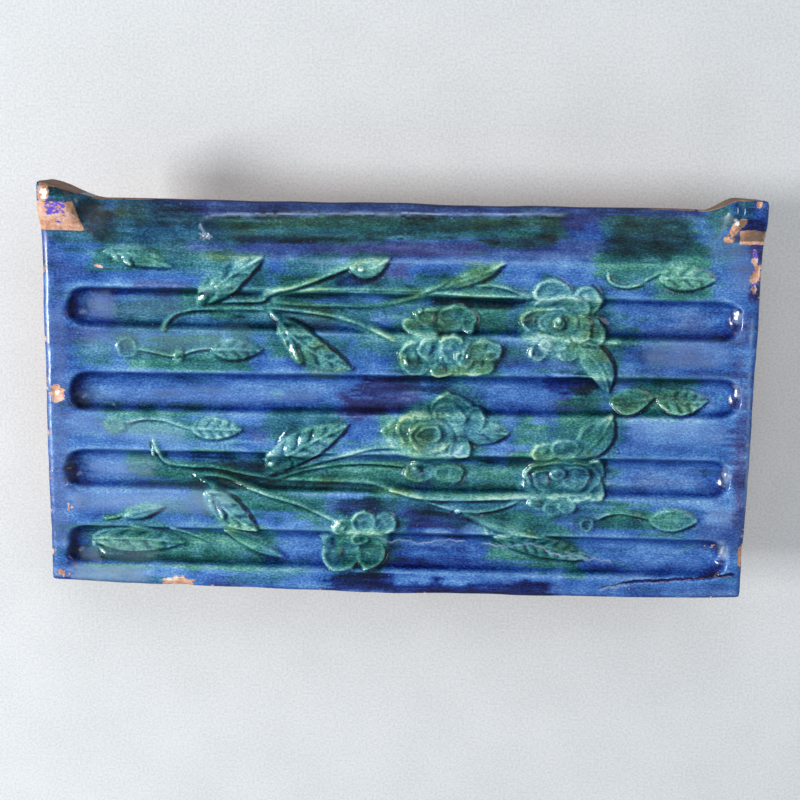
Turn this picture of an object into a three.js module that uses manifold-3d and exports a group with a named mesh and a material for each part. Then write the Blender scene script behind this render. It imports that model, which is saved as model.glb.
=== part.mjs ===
// A glazed stove tile from the cornice of a tiled stove, lying on its back with its face up.
// Millimetres. X runs along the flutes, Y across them towards the two ears, Z out of the face.
// The origin is on the plane of the back rim, under the middle of the tile.

import * as THREE from 'three';
import { mergeVertices } from 'three/addons/utils/BufferGeometryUtils.js';
import Module from 'manifold-3d';

const wasm = await Module();
wasm.setup();

// Driving sizes of the face plate, which one mould gave
const plateLength = 300;
const plateWidth = 165.5;        // lower edge to the lip of the crest hollow
const plateThickness = 18;
const lowerEdgeBow = 1.7;        // the clay bowed out along the lower edge as it dried
const wornEdge = 1.6;            // bevel of the rubbed outer edges

// Stopped flutes, from the crest down: distance of each end from the plate's ends, and its rise
const flutes = [
  { leftBorder: 10.8, rightBorder: 7.5, rise: -0.5 },
  { leftBorder: 10.8, rightBorder: 5.7, rise: 4.1 },
  { leftBorder: 7.8, rightBorder: 8.1, rise: 2.8 },
  { leftBorder: 7.7, rightBorder: 7.1, rise: 1.8 },
];
const fluteWidth = 17.3;
const fluteDepth = 7;
const fluteEnd = 11;             // length of the scooped end
const fluteSquareness = 2.8;     // 2 is a round end, more is squarer
const lowerBorder = 8.2;         // lower edge to the last flute
const upperBorder = 13.5;        // first flute to the ridge of the crest

// The crest: a hollow that falls from the ridge to a thin lip, between two ears
const crestWidth = 23;           // ridge to lip
const crestDrop = 14;
const troughWidth = 10.6;        // the shallow fifth flute in the hollow
const troughDepth = 2.4;
const troughLipGap = 3.6;
const troughEndGap = 68;         // plate end to trough end
const troughEnd = 12;
const earHeight = 4.6;
const earSlope = 9;              // length of the ear's bare front slope
const leftEar = { width: 16, reach: 7.5, sweep: 15, shoulder: 26, ridgeRise: 11, ridgeSweep: 6 };
const rightEar = { width: 12, reach: 5.5, sweep: 9, shoulder: 14, ridgeRise: 13, ridgeSweep: 12 };

// The hollow collar behind the plate, which was bedded in the stove's clay
const collarDepth = 38;          // back rim to the back of the plate
const collarWall = 12;
const collarInset = 8.5;         // from the plate's ends and lower edge
const collarCrestInset = 10;     // from the lip, so that the lip stands free
const collarCorner = 12;
const collarRoot = 1.2;          // how far the collar runs into the plate

// Carving of the relief, in millimetres above the face
const leafHeight = 1.9;
const leafGroove = 0.8;
const stemHeight = 1.7;
const petalHeight = 2.5;
const petalDish = 1.1;
const reliefRoot = 3;            // how far every form is rooted below the flutes' floors
const reliefEdge = 0.4;          // how far its edge dips under the face
const stemStep = 6;               // between the sections along a stem

// The relief is drawn on a sheet of this size, centred on the plate, which follows the plate
const sheetLength = 300;
const sheetWidth = 165.5;
const sheetCentre = -2.75;

const leaves = [
  { name: 'corner', from: [-123, 58], to: [-95, 53], width: 7 },
  { name: 'upper broad', from: [-81.5, 40], to: [-61, 56], width: 14 },
  { name: 'upper cup', from: [-19.5, 53], to: [-6, 56], width: 7.5 },
  { name: 'upper hanging', from: [-48, 29], to: [-19.5, 11], width: 12 },
  { name: 'upper long', from: [10, 44.5], to: [53, 45.5], width: 4.5 },
  { name: 'upper tip', from: [24.5, 50], to: [44, 56], width: 6 },
  { name: 'right of the upper rose', from: [108.5, 52], to: [131.5, 51.5], width: 10.5 },
  { name: 'first sprig', from: [-78.5, 18], to: [-57, 18], width: 9.5 },
  { name: 'second sprig', from: [-87, -16.5], to: [-65.5, -16], width: 10.5 },
  { name: 'third sprig', from: [110.5, 1.5], to: [130.5, 1.5], width: 11 },
  { name: 'fourth sprig', from: [109, -51], to: [129, -51], width: 10.5 },
  { name: 'fifth sprig', from: [-118, -55], to: [-98, -51], width: 6.5 },
  { name: 'left of the last flute', from: [-130, -66], to: [-92, -66.5], width: 11 },
  { name: 'lower broad', from: [-55, -31.5], to: [-20.5, -13], width: 14 },
  { name: 'lower hanging', from: [-80, -44], to: [-59.5, -59], width: 12 },
  { name: 'lower trailing', from: [-72.5, -61.5], to: [-47.5, -72], width: 7.5 },
  { name: 'feathered', from: [43.5, -60.5], to: [84, -68.5], width: 11 },
  { name: 'narrow', from: [29.5, -50.5], to: [65, -60], width: 5 },
  { name: 'under the upper rose', from: [77.5, 23], to: [89, 4.5], width: 10.5 },
  { name: 'over the lower rose', from: [79.5, -22], to: [89.5, -6.5], width: 10.5 },
  { name: 'star', from: [30, -15], to: [47.5, -14.5], width: 8.5 },
  { name: 'cuff', from: [91, 0], to: [106.5, 2], width: 9.5 },
];

const stems = [
  { name: 'upper hook', width: 3.2, through: [[-97.5, 27], [-95, 31], [-90, 34], [-80.5, 35.5], [-53, 36.5]] },
  { name: 'upper branch', width: 2.8, through: [[-55, 36], [-49.5, 41], [-34, 46.5], [-19.5, 53.5]] },
  { name: 'upper main', width: 3, through: [[-55, 36.5], [-41, 35], [-29, 33.5], [-19.5, 31.5], [0, 24]] },
  { name: 'upper far', width: 2.6, through: [[-51, 36.5], [-25.5, 38], [1, 40], [10, 42.5], [26, 50.5]] },
  { name: 'to the upper rose', width: 2.2, through: [[10, 43.5], [22.5, 47.5], [33, 48.5], [54, 44.5]] },
  { name: 'to the hanging leaf', width: 2.4, through: [[-55, 35.5], [-46, 32], [-37.5, 27.5], [-29, 18]] },
  { name: 'lower hook', width: 3.2, through: [[-103.5, -23.5], [-97.5, -31], [-79.5, -33], [-51, -37]] },
  { name: 'lower up', width: 2.8, through: [[-57, -36], [-39, -31.5], [-25, -27.5], [3.5, -22]] },
  { name: 'to the lower bud', width: 2.6, through: [[-52, -37], [-39, -33.5], [-25.5, -30.5], [7.5, -30.5]] },
  { name: 'to the lower rose', width: 3, through: [[-52, -37], [-11, -37.5], [10.5, -44], [25, -44.5], [58, -42.5]] },
  { name: 'bow', width: 2.4, through: [[9, -43.5], [25, -49], [35.5, -49.5], [46.5, -47.5], [54, -43.5]] },
  { name: 'lower down', width: 2.8, through: [[-87, -36], [-64.5, -38.5], [-44, -47], [-22, -56]] },
  { name: 'lower left', width: 2.4, through: [[-85, -37], [-70, -46.5], [-62.5, -52.5], [-59, -60]] },
  { name: 'curl', width: 2.4, through: [[86.5, 53], [87.5, 50], [90.5, 49], [95, 48.5], [99.5, 49.5]] },
  { name: 'right sprig', width: 2, through: [[102, 51], [106.5, 53.5], [112.5, 56]] },
  { name: 'first sprig', width: 2.2, through: [[-110, 17.5], [-102, 16], [-93.5, 15], [-84.5, 17.5], [-76, 18]] },
  { name: 'second sprig', width: 2.2, through: [[-117, -15], [-107.5, -13], [-99.5, -13], [-85, -17]] },
  { name: 'third sprig', width: 2.2, through: [[94, 4], [101.5, 3.5], [112.5, 2]] },
  { name: 'fourth sprig', width: 2.2, through: [[84.5, -53], [92, -49], [99, -48.5], [110.5, -51]] },
  { name: 'fifth sprig', width: 2, through: [[-125.5, -57.5], [-118.5, -56], [-113, -53.5]] },
  { name: 'flute stem', width: 2, through: [[-113.5, -60.5], [-100, -63], [-90.5, -67.5], [-80, -68]] },
  { name: 'feather stem', width: 2.2, through: [[29.5, -50], [37, -53.5], [41.5, -60], [50, -62]] },
];

// Each flower is a list of petals: where its middle is, its half length and half width, its turn in degrees
const flowers = [
  { name: 'upper rose', petals: [
    [65.5, 33, 14.5, 7.5, 0], [63.5, 46.5, 7, 4.8, 0], [78, 43.5, 6.5, 6, 40], [83.5, 31.5, 6, 5.5, 80],
    [53.5, 32.5, 7, 4, 90], [58, 20.5, 4.4, 3.5, 20], [71, 20, 5.4, 3.6, -20], [67.5, 33, 3.4, 3.2, 0]] },
  { name: 'upper peony', petals: [
    [9.5, 18, 7.5, 6.3, 0], [23.5, 21, 5, 4.6, 90], [37, 18.5, 7, 5, 0], [20, 12.5, 4.2, 2.8, 20],
    [33, 12.5, 8, 2.8, -5], [39, 18, 2.8, 2.6, 0]] },
  { name: 'upper bud', petals: [[11.5, 31.5, 8, 3.6, -15], [22, 35.5, 7.5, 4, 10], [30.5, 34, 4.6, 4, 90]] },
  { name: 'lower peony', petals: [
    [22.5, -5, 9.5, 5.4, 10], [16, -17, 9.5, 7, 0], [28, -21.5, 4.2, 2.8, 80], [4, -15, 5, 4.4, 90],
    [12, -32.5, 6, 3.6, 0], [23, -33, 5.6, 3.6, 0]] },
  { name: 'lower rose', petals: [
    [71, -32.5, 17, 8, 0], [86, -32, 5, 4, 90], [85, -39.5, 3.8, 3, 0], [68.5, -21, 7, 4.2, 0],
    [62, -44.5, 4.4, 3, -20], [72, -46, 5, 3, 0], [69, -31, 3.6, 3.4, 0]] },
  { name: 'blossom', petals: [
    [-13.5, -55, 5.2, 5, 0], [-3.5, -55.5, 4.2, 4, 0], [-23, -68.5, 7, 5.4, 0], [-9.5, -66.5, 5, 4.6, 90],
    [-23, -57, 4, 2.8, 20]] },
  { name: 'buds of the sprigs', petals: [
    [-114, 18, 4, 3.8, 0], [-92, 15.5, 2.4, 2.2, 0], [-120.5, -15.5, 4.2, 4, 0], [82.5, -54, 2.9, 2.7, 0],
    [-50.5, -28.5, 5.4, 3.4, -20]] },
];

// Places that follow from the driving sizes
const fieldHeight = collarDepth + plateThickness;
const rootHeight = fieldHeight - fluteDepth - reliefRoot;
const halfLength = plateLength / 2;
const lowerEdge = -plateWidth / 2;
const lipLine = plateWidth / 2;
const ridgeLine = lipLine - crestWidth;
const fieldWidth = ridgeLine - lowerEdge;
const fluteGap = (fieldWidth - lowerBorder - upperBorder - flutes.length * fluteWidth) / (flutes.length - 1);
const leftEarEnd = -halfLength + leftEar.width;
const rightEarEnd = halfLength - rightEar.width;
const troughCentre = lipLine - troughLipGap - troughWidth / 2;

const clamp01 = (value) => Math.min(1, Math.max(0, value));

function smooth(from, to, value) {
  const share = clamp01((value - from) / (to - from));
  return share * share * (3 - 2 * share);
}

// Stopped grooves: the share of the rim's distance, 0 on the floor's middle line and 1 at the rim
function rimShare(across, along, squareness) {
  return (Math.abs(across) ** squareness + along ** squareness) ** (1 / squareness);
}

const scoop = (rim) => (rim < 1 ? (1 - rim * rim) ** 0.6 : 0);

function groove(spec, x, y) {
  const inward = Math.min(x - spec.left, spec.right - x);
  if (inward <= 0) {
    return 0;
  }
  const across = (y - spec.centreAt(x)) / (spec.width / 2);
  const along = Math.max(0, 1 - inward / spec.end);
  return spec.depth * scoop(rimShare(across, along, fluteSquareness));
}

const fluteGrooves = flutes.map((flute, row) => {
  const centre = ridgeLine - upperBorder - fluteWidth / 2 - row * (fluteWidth + fluteGap);
  return {
    left: -halfLength + flute.leftBorder,
    right: halfLength - flute.rightBorder,
    width: fluteWidth,
    depth: fluteDepth,
    end: fluteEnd,
    centreAt: (x) => centre + flute.rise * x / plateLength,
  };
});

const trough = {
  left: -halfLength + troughEndGap,
  right: halfLength - troughEndGap,
  width: troughWidth,
  depth: troughDepth,
  end: troughEnd,
  centreAt: () => troughCentre,
};

// Share of the full crest hollow at x: 0 on the ears, 1 along the middle
function hollowShare(x) {
  const left = 1 - Math.exp(-Math.max(0, x - leftEarEnd) / leftEar.sweep);
  const right = smooth(rightEarEnd, rightEarEnd - rightEar.sweep * 2, x);
  return Math.min(left, right);
}

function ridgeAt(x) {
  const left = leftEar.ridgeRise * Math.exp(-Math.max(0, x - leftEarEnd) / leftEar.ridgeSweep);
  const right = rightEar.ridgeRise * Math.exp(-Math.max(0, rightEarEnd - x) / rightEar.ridgeSweep);
  return ridgeLine + left + right;
}

function crestEdgeAt(x) {
  const left = leftEar.reach * (1 - smooth(-1, 1, (x - leftEarEnd + 3) / (leftEar.shoulder / 2)));
  const right = rightEar.reach * (1 - smooth(-1, 1, (rightEarEnd - x - 5) / (rightEar.shoulder / 2)));
  return lipLine + left + right;
}

function lowerEdgeAt(x) {
  return lowerEdge - lowerEdgeBow * (1 - (x / halfLength) ** 2);
}

// Height of the ear over the face
function earAt(x, y) {
  const side = Math.max(smooth(leftEarEnd, leftEarEnd - 3, x), smooth(rightEarEnd, rightEarEnd + 2, x));
  const foot = ridgeLine + 11;
  return earHeight * side * smooth(foot - 2, foot + earSlope, y);
}

function hollowAt(x, y) {
  const ridge = ridgeAt(x);
  const share = clamp01((y - ridge) / (crestEdgeAt(x) - ridge));
  return crestDrop * hollowShare(x) * (1 - (1 - share) ** 1.5);
}

const crestAt = (x, y) => fieldHeight + earAt(x, y) - hollowAt(x, y);

// The tile's face before the relief is laid on it
function faceAt(x, y) {
  const cut = fluteGrooves.reduce((sum, spec) => sum + groove(spec, x, y), groove(trough, x, y));
  return crestAt(x, y) - cut;
}

// The relief bridges each sharp rim a little, as pressed clay does
function drapeAt(x, y) {
  const reach = 1.2;
  return Math.max(faceAt(x, y - reach), faceAt(x, y), faceAt(x, y + reach));
}

// A closed body through rings with the same number of points, flat at both ends
function loft(rings) {
  const count = rings[0].length;
  const positions = rings.flat().flatMap((point) => [point.x, point.y, point.z]);
  const faces = [];
  for (let ring = 0; ring + 1 < rings.length; ring += 1) {
    for (let i = 0; i < count; i += 1) {
      const here = ring * count + i;
      const next = ring * count + (i + 1) % count;
      faces.push([here, next, here + count], [next, next + count, here + count]);
    }
  }
  capOf(rings[0]).forEach(([a, b, c]) => faces.push([a, c, b]));
  const last = (rings.length - 1) * count;
  capOf(rings[rings.length - 1]).forEach(([a, b, c]) => faces.push([a + last, b + last, c + last]));
  return solidFrom(positions, faces);
}

// Triangles that fill a flat ring, wound as the ring runs
function capOf(ring) {
  const normal = new THREE.Vector3();
  ring.forEach((point, i) => {
    const next = ring[(i + 1) % ring.length];
    normal.add(new THREE.Vector3().crossVectors(point, next));
  });
  const along = Math.abs(normal.x) > Math.abs(normal.y) ? 'y' : 'x';
  const flat = ring.map((point) => new THREE.Vector2(point[along], point.z));
  const triangles = THREE.ShapeUtils.triangulateShape(flat, []);
  const ringIsClockwise = THREE.ShapeUtils.isClockWise(flat);
  return triangles.map(([a, b, c]) => {
    const clockwise = THREE.ShapeUtils.isClockWise([flat[a], flat[b], flat[c]]);
    return clockwise === ringIsClockwise ? [a, b, c] : [a, c, b];
  });
}

// A manifold solid with its faces pointing out, whichever way they were wound
function solidFrom(positions, faces) {
  const corner = (index) => new THREE.Vector3().fromArray(positions, index * 3);
  const volume = faces.reduce((sum, [a, b, c]) => sum + corner(a).dot(corner(b).cross(corner(c))), 0);
  const wound = volume < 0 ? faces.map(([a, b, c]) => [a, c, b]) : faces;
  const geometry = new THREE.BufferGeometry();
  geometry.setAttribute('position', new THREE.Float32BufferAttribute(positions, 3));
  geometry.setIndex(wound.flat());
  return solidOf(geometry);
}

function solidOf(geometry) {
  geometry.deleteAttribute('normal');
  geometry.deleteAttribute('uv');
  const merged = mergeVertices(geometry, 1e-4);
  const mesh = new wasm.Mesh({
    numProp: 3,
    vertProperties: Float32Array.from(merged.attributes.position.array),
    triVerts: Uint32Array.from(merged.index.array),
  });
  return new wasm.Manifold(mesh);
}

// The plate: sections across the tile at stations that are closest where the ears sweep down
function plateSolid() {
  const leftSweep = [0, 3, 6, 10, 15, 21, 30, 42].map((step) => leftEarEnd + step);
  const rightSweep = [30, 22, 18, 14.5, 11, 8, 5, 2.5, 0].map((step) => rightEarEnd - step);
  const ends = [wornEdge, leftEar.width / 2].map((step) => -halfLength + step);
  const farEnds = [rightEar.width - 2, wornEdge].map((step) => halfLength - step);
  const middle = [-60, -20, 20, 60].map((share) => share / 150 * halfLength);
  const stations = [-halfLength, ...ends, ...leftSweep, ...middle, ...rightSweep, ...farEnds, halfLength];
  return loft(stations.map((x) => {
    const bevel = Math.abs(x) === halfLength ? wornEdge : 0;
    return plateSection(x, bevel);
  }));
}

function plateSection(x, bevel) {
  const low = lowerEdgeAt(x);
  const ridge = ridgeAt(x);
  const edge = crestEdgeAt(x);
  const top = [[low, fieldHeight - Math.max(wornEdge, bevel)], [low + wornEdge, fieldHeight - bevel]];
  const steps = [0, 0.07, 0.18, 0.32, 0.48, 0.66, 0.84, 0.95];
  steps.forEach((step) => {
    const y = ridge + (edge - ridge) * step;
    top.push([y, crestAt(x, y) - bevel]);
  });
  const lip = crestAt(x, edge) - Math.max(1, bevel);
  const section = [[low, collarDepth], ...top, [edge, lip], [edge, collarDepth]];
  return section.map(([y, z]) => new THREE.Vector3(x, y, z));
}

// What is scooped out of the plate for a stopped groove
function grooveCutter(spec, topAt) {
  const slices = [0.985, 0.93, 0.8, 0.55, 0.25, 0];
  const fromLeft = slices.map((along) => [spec.left + spec.end * (1 - along), along]);
  const toRight = slices.map((along) => [spec.right - spec.end * (1 - along), along]).reverse();
  return loft([...fromLeft, ...toRight].map(([x, along]) => {
    const reach = (1 - along ** fluteSquareness) ** (1 / fluteSquareness);
    const ring = [-1, -0.86, -0.5, 0, 0.5, 0.86, 1].map((across) => {
      const y = spec.centreAt(x) + across * reach * spec.width / 2;
      const depth = spec.depth * scoop(rimShare(across * reach, along, fluteSquareness));
      return new THREE.Vector3(x, y, topAt(x, y) - depth);
    });
    const clearance = 4;
    const lastRim = ring[ring.length - 1];
    ring.push(new THREE.Vector3(x, lastRim.y, lastRim.z + clearance));
    ring.push(new THREE.Vector3(x, ring[0].y, ring[0].z + clearance));
    return ring;
  }));
}

function collarOutline(inset) {
  const left = -halfLength + collarInset + inset;
  const right = halfLength - collarInset - inset;
  const low = lowerEdge + collarInset + inset;
  const high = lipLine - collarCrestInset - inset;
  const corner = Math.max(1, collarCorner - inset);
  const outline = new THREE.Path();
  outline.absarc(right - corner, high - corner, corner, 0, Math.PI / 2);
  outline.absarc(left + corner, high - corner, corner, Math.PI / 2, Math.PI);
  outline.absarc(left + corner, low + corner, corner, Math.PI, Math.PI * 1.5);
  outline.absarc(right - corner, low + corner, corner, Math.PI * 1.5, Math.PI * 2);
  return outline.getPoints(4);
}

function collarSolid() {
  const shape = new THREE.Shape(collarOutline(0));
  shape.holes.push(new THREE.Path(collarOutline(collarWall)));
  const depth = collarDepth + collarRoot;
  return solidOf(new THREE.ExtrudeGeometry(shape, { depth, bevelEnabled: false }));
}

// Where a point of the relief's drawing lies on the plate
function onPlate([x, y]) {
  return new THREE.Vector2(x * plateLength / sheetLength, (y - sheetCentre) * plateWidth / sheetWidth);
}

// One ring of a relief form: heights over the face across it, then its root
function reliefRing(middle, sideways, halfWidth, heights) {
  const points = heights.map(([across, height]) => {
    const at = middle.clone().addScaledVector(sideways, across * halfWidth);
    return new THREE.Vector3(at.x, at.y, drapeAt(at.x, at.y) + height);
  });
  const roots = [1, -1].map((across) => {
    const at = middle.clone().addScaledVector(sideways, across * halfWidth);
    return new THREE.Vector3(at.x, at.y, rootHeight);
  });
  return [...points, ...roots];
}

const sidewaysOf = (direction) => new THREE.Vector2(-direction.y, direction.x).normalize();

// A leaf from its stalk to its tip, swelling early and grooved along its midrib
function leafSolid(leaf) {
  const from = onPlate(leaf.from);
  const to = onPlate(leaf.to);
  const sideways = sidewaysOf(to.clone().sub(from));
  const stations = [0, 0.14, 0.36, 0.6, 0.84, 1];
  return loft(stations.map((station) => {
    const middle = from.clone().lerp(to, station);
    const swell = Math.sin(Math.PI * station ** 0.8) ** 0.8;
    const halfWidth = Math.max(0.35, leaf.width / 2 * swell);
    const body = leafHeight * (0.5 + 0.5 * swell);
    const heights = [[-1, -reliefEdge], [-0.6, body], [0, body - leafGroove], [0.6, body], [1, -reliefEdge]];
    return reliefRing(middle, sideways, halfWidth, heights);
  }));
}

function stemSolid(stem) {
  const points = stem.through.map((point) => onPlate(point));
  const curve = new THREE.SplineCurve(points);
  const steps = Math.max(2, Math.ceil(curve.getLength() / stemStep));
  const stations = Array.from({ length: steps + 1 }, (_, i) => i / steps);
  return loft(stations.map((station) => {
    const middle = curve.getPointAt(station);
    const sideways = sidewaysOf(curve.getTangentAt(station));
    const heights = [[-1, -reliefEdge], [0, stemHeight], [1, -reliefEdge]];
    return reliefRing(middle, sideways, stem.width / 2, heights);
  }));
}

// A petal is a round boss, dished in its middle
function petalSolid([x, y, halfLong, halfAcross, turn]) {
  const centre = onPlate([x, y]);
  const angle = THREE.MathUtils.degToRad(turn);
  const along = new THREE.Vector2(Math.cos(angle), Math.sin(angle));
  const sideways = sidewaysOf(along);
  const stations = [-1, -0.72, 0, 0.72, 1];
  return loft(stations.map((station) => {
    const middle = centre.clone().addScaledVector(along, station * halfLong);
    const reach = Math.sqrt(Math.max(0.01, 1 - station * station));
    const rim = petalHeight * Math.min(1, reach * 1.6) - reliefEdge;
    const dish = rim - petalDish * reach ** 2;
    const heights = [[-1, -reliefEdge], [-0.7, rim], [0, dish], [0.7, rim], [1, -reliefEdge]];
    return reliefRing(middle, sideways, reach * halfAcross, heights);
  }));
}

function tileSolid() {
  const cutters = fluteGrooves.map((spec) => grooveCutter(spec, () => fieldHeight));
  cutters.push(grooveCutter(trough, crestAt));
  const carved = cutters.reduce((solid, cutter) => solid.subtract(cutter), plateSolid().add(collarSolid()));
  const forms = [
    ...leaves.map(leafSolid),
    ...stems.map(stemSolid),
    ...flowers.flatMap((flower) => flower.petals.map(petalSolid)),
  ];
  return forms.reduce((solid, form) => solid.add(form), carved);
}

function geometryOf(solid) {
  const mesh = solid.getMesh();
  const geometry = new THREE.BufferGeometry();
  const positions = new Float32Array(mesh.vertProperties);
  geometry.setAttribute('position', new THREE.BufferAttribute(positions, 3));
  geometry.setIndex(Array.from(mesh.triVerts));
  geometry.computeVertexNormals();
  return geometry;
}

const glaze = new THREE.MeshStandardMaterial({ color: 0x1f4a96, roughness: 0.28, metalness: 0 });
const tile = new THREE.Mesh(geometryOf(tileSolid()), glaze);
tile.name = 'stove_tile';
// The ears and the bowed lower edge are centred on the origin
tile.position.y = (lowerEdgeBow - Math.max(leftEar.reach, rightEar.reach)) / 2;

const object = new THREE.Group();
object.add(tile);
export default object;
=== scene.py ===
"""The looks of a glazed stove tile: its relief face, worn edges and fired-clay back.

The tile lies on its back with its face up. Sizes are millimetres until a mesh is made.
X runs along the flutes, Y across them towards the two ears, Z out of the face.
Places on the face are named by where the photograph shows them, in its 800 x 800 pixels, and are
carried to the tile through the photograph's own camera, down to the surface that the camera sees.
"""

import math

import bpy
import numpy as np
from mathutils import Matrix, Vector


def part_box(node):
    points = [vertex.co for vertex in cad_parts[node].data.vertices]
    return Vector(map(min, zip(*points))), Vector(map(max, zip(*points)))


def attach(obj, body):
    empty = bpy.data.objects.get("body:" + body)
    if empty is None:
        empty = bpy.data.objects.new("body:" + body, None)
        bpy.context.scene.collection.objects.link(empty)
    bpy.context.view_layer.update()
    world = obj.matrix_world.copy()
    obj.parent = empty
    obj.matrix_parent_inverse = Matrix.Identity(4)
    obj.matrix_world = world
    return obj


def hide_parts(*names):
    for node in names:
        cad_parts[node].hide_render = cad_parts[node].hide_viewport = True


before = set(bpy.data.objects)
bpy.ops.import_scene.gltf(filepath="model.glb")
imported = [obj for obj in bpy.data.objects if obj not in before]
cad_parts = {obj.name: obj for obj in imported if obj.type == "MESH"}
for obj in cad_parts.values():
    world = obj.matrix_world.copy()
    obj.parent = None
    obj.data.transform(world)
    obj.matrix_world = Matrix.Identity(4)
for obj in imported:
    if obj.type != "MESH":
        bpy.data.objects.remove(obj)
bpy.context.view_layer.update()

MM = 0.001

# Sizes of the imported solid
tile_low, tile_high = (np.array(corner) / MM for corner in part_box("stove_tile"))
tile_size = tile_high - tile_low

# Driving sizes of the face, as the solid has them
LOWER_EDGE_BOW = 1.7
LOWER_EDGE_SAG = 0.9     # the lower edge hangs this much lower towards the left, worn and uneven
LEFT_EAR = {"width": 16, "reach": 7.5, "sweep": 15, "shoulder": 26, "ridge_rise": 11, "ridge_sweep": 6}
RIGHT_EAR = {"width": 12, "reach": 5.5, "sweep": 9, "shoulder": 14, "ridge_rise": 13, "ridge_sweep": 12}
EAR_HEIGHT = 4.6
EAR_SLOPE = 9
EAR_LEAN = 0.35          # how much the left ear narrows as it rises
EAR_FOOT_SPREAD = 3.0
PLATE_LENGTH = tile_size[0]
PLATE_WIDTH = tile_size[1] - LOWER_EDGE_BOW - LEFT_EAR["reach"]
FIELD = tile_size[2] - EAR_HEIGHT
PLATE_BACK = 38
FLUTES = [
    {"left": 10.8, "right": 7.5, "rise": -0.5},
    {"left": 10.8, "right": 5.7, "rise": 4.1},
    {"left": 7.8, "right": 8.1, "rise": 2.8},
    {"left": 7.7, "right": 7.1, "rise": 1.8},
]
FLUTE_WIDTH = 17.3
FLUTE_DEPTH = 7
FLUTE_END = 11
FLUTE_SQUARENESS = 2.8
LOWER_BORDER = 8.2
UPPER_BORDER = 13.5
CREST_WIDTH = 23
CREST_DROP = 14
TROUGH = {"width": 10.6, "depth": 2.4, "lip_gap": 3.6, "end_gap": 68, "end": 12}

# The hollow collar behind the plate
COLLAR_WALL = 12
COLLAR_INSET = 8.5
COLLAR_CREST_INSET = 10
COLLAR_CORNER = 12

# Places that follow from the driving sizes
HALF_LENGTH = PLATE_LENGTH / 2
LOWER_EDGE = -PLATE_WIDTH / 2
LIP_LINE = PLATE_WIDTH / 2
RIDGE_LINE = LIP_LINE - CREST_WIDTH
PLATE_SHIFT = (LOWER_EDGE_BOW - LEFT_EAR["reach"]) / 2
FIELD_WIDTH = RIDGE_LINE - LOWER_EDGE
FLUTE_GAP = (FIELD_WIDTH - LOWER_BORDER - UPPER_BORDER - len(FLUTES) * FLUTE_WIDTH) / (len(FLUTES) - 1)
LEFT_EAR_END = -HALF_LENGTH + LEFT_EAR["width"]
RIGHT_EAR_END = HALF_LENGTH - RIGHT_EAR["width"]
EAR_FOOT = RIDGE_LINE + 11
TROUGH_CENTRE = LIP_LINE - TROUGH["lip_gap"] - TROUGH["width"] / 2

# The photograph's camera, in the tile's frame
IMAGE_SIDE = 800
LENS = 63
SENSOR = 36
CAMERA_PLACE = np.array([25.94, 115.58, 634.91])
CAMERA_TURN = [math.radians(angle) for angle in (11.457, -2.338, -1.493)]


def smooth(start, end, value):
    share = np.clip((value - start) / (end - start), 0, 1)
    return share * share * (3 - 2 * share)


def bell(value, width):
    return np.exp(-(value / width) ** 2)


# The face before its relief, in plate millimetres

def hollow_share(x):
    left = 1 - np.exp(-np.maximum(0, x - LEFT_EAR_END) / LEFT_EAR["sweep"])
    right = smooth(RIGHT_EAR_END, RIGHT_EAR_END - RIGHT_EAR["sweep"] * 2, x)
    return np.minimum(left, right)


def ridge_at(x):
    left = LEFT_EAR["ridge_rise"] * np.exp(-np.maximum(0, x - LEFT_EAR_END) / LEFT_EAR["ridge_sweep"])
    right = RIGHT_EAR["ridge_rise"] * np.exp(-np.maximum(0, RIGHT_EAR_END - x) / RIGHT_EAR["ridge_sweep"])
    return RIDGE_LINE + left + right


def crest_edge_at(x):
    left = 1 - smooth(-1, 1, (x - LEFT_EAR_END + 3) / (LEFT_EAR["shoulder"] / 2))
    right = 1 - smooth(-1, 1, (RIGHT_EAR_END - x - 5) / (RIGHT_EAR["shoulder"] / 2))
    return LIP_LINE + LEFT_EAR["reach"] * left + RIGHT_EAR["reach"] * right


def lower_edge_at(x):
    return LOWER_EDGE - LOWER_EDGE_BOW * (1 - (x / HALF_LENGTH) ** 2)


def ear_sides(x, y):
    """How far inside each ear's slanting inner side a point is, in millimetres."""
    lean = (y - EAR_FOOT) * EAR_LEAN
    return LEFT_EAR_END + EAR_FOOT_SPREAD - lean - x, x - RIGHT_EAR_END


def ear_at(x, y):
    left, right = ear_sides(x, y)
    share = np.maximum(smooth(0, 3, left), smooth(0, 2, right))
    return EAR_HEIGHT * share * smooth(EAR_FOOT - 2, EAR_FOOT + EAR_SLOPE, y)


def hollow_at(x, y):
    ridge = ridge_at(x)
    share = np.clip((y - ridge) / (crest_edge_at(x) - ridge), 0, 1)
    return CREST_DROP * hollow_share(x) * (1 - (1 - share) ** 1.5)


def flute_centre(row, x):
    centre = RIDGE_LINE - UPPER_BORDER - FLUTE_WIDTH / 2 - row * (FLUTE_WIDTH + FLUTE_GAP)
    return centre + FLUTES[row]["rise"] * x / PLATE_LENGTH


def groove(x, y, left, right, centre, width, depth, end):
    """Depth of a stopped groove, and its rim share: 0 on the floor's middle line, 1 at the rim."""
    inward = np.minimum(x - left, right - x)
    across = np.abs(y - centre) / (width / 2)
    along = np.maximum(0, 1 - inward / end)
    share = (across ** FLUTE_SQUARENESS + along ** FLUTE_SQUARENESS) ** (1 / FLUTE_SQUARENESS)
    return depth * np.clip(1 - share * share, 0, 1) ** 0.6, share


def flute(row, x, y):
    left = -HALF_LENGTH + FLUTES[row]["left"]
    right = HALF_LENGTH - FLUTES[row]["right"]
    return groove(x, y, left, right, flute_centre(row, x), FLUTE_WIDTH, FLUTE_DEPTH, FLUTE_END)


def trough(x, y):
    left = -HALF_LENGTH + TROUGH["end_gap"]
    return groove(x, y, left, -left, TROUGH_CENTRE, TROUGH["width"], TROUGH["depth"], TROUGH["end"])


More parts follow.
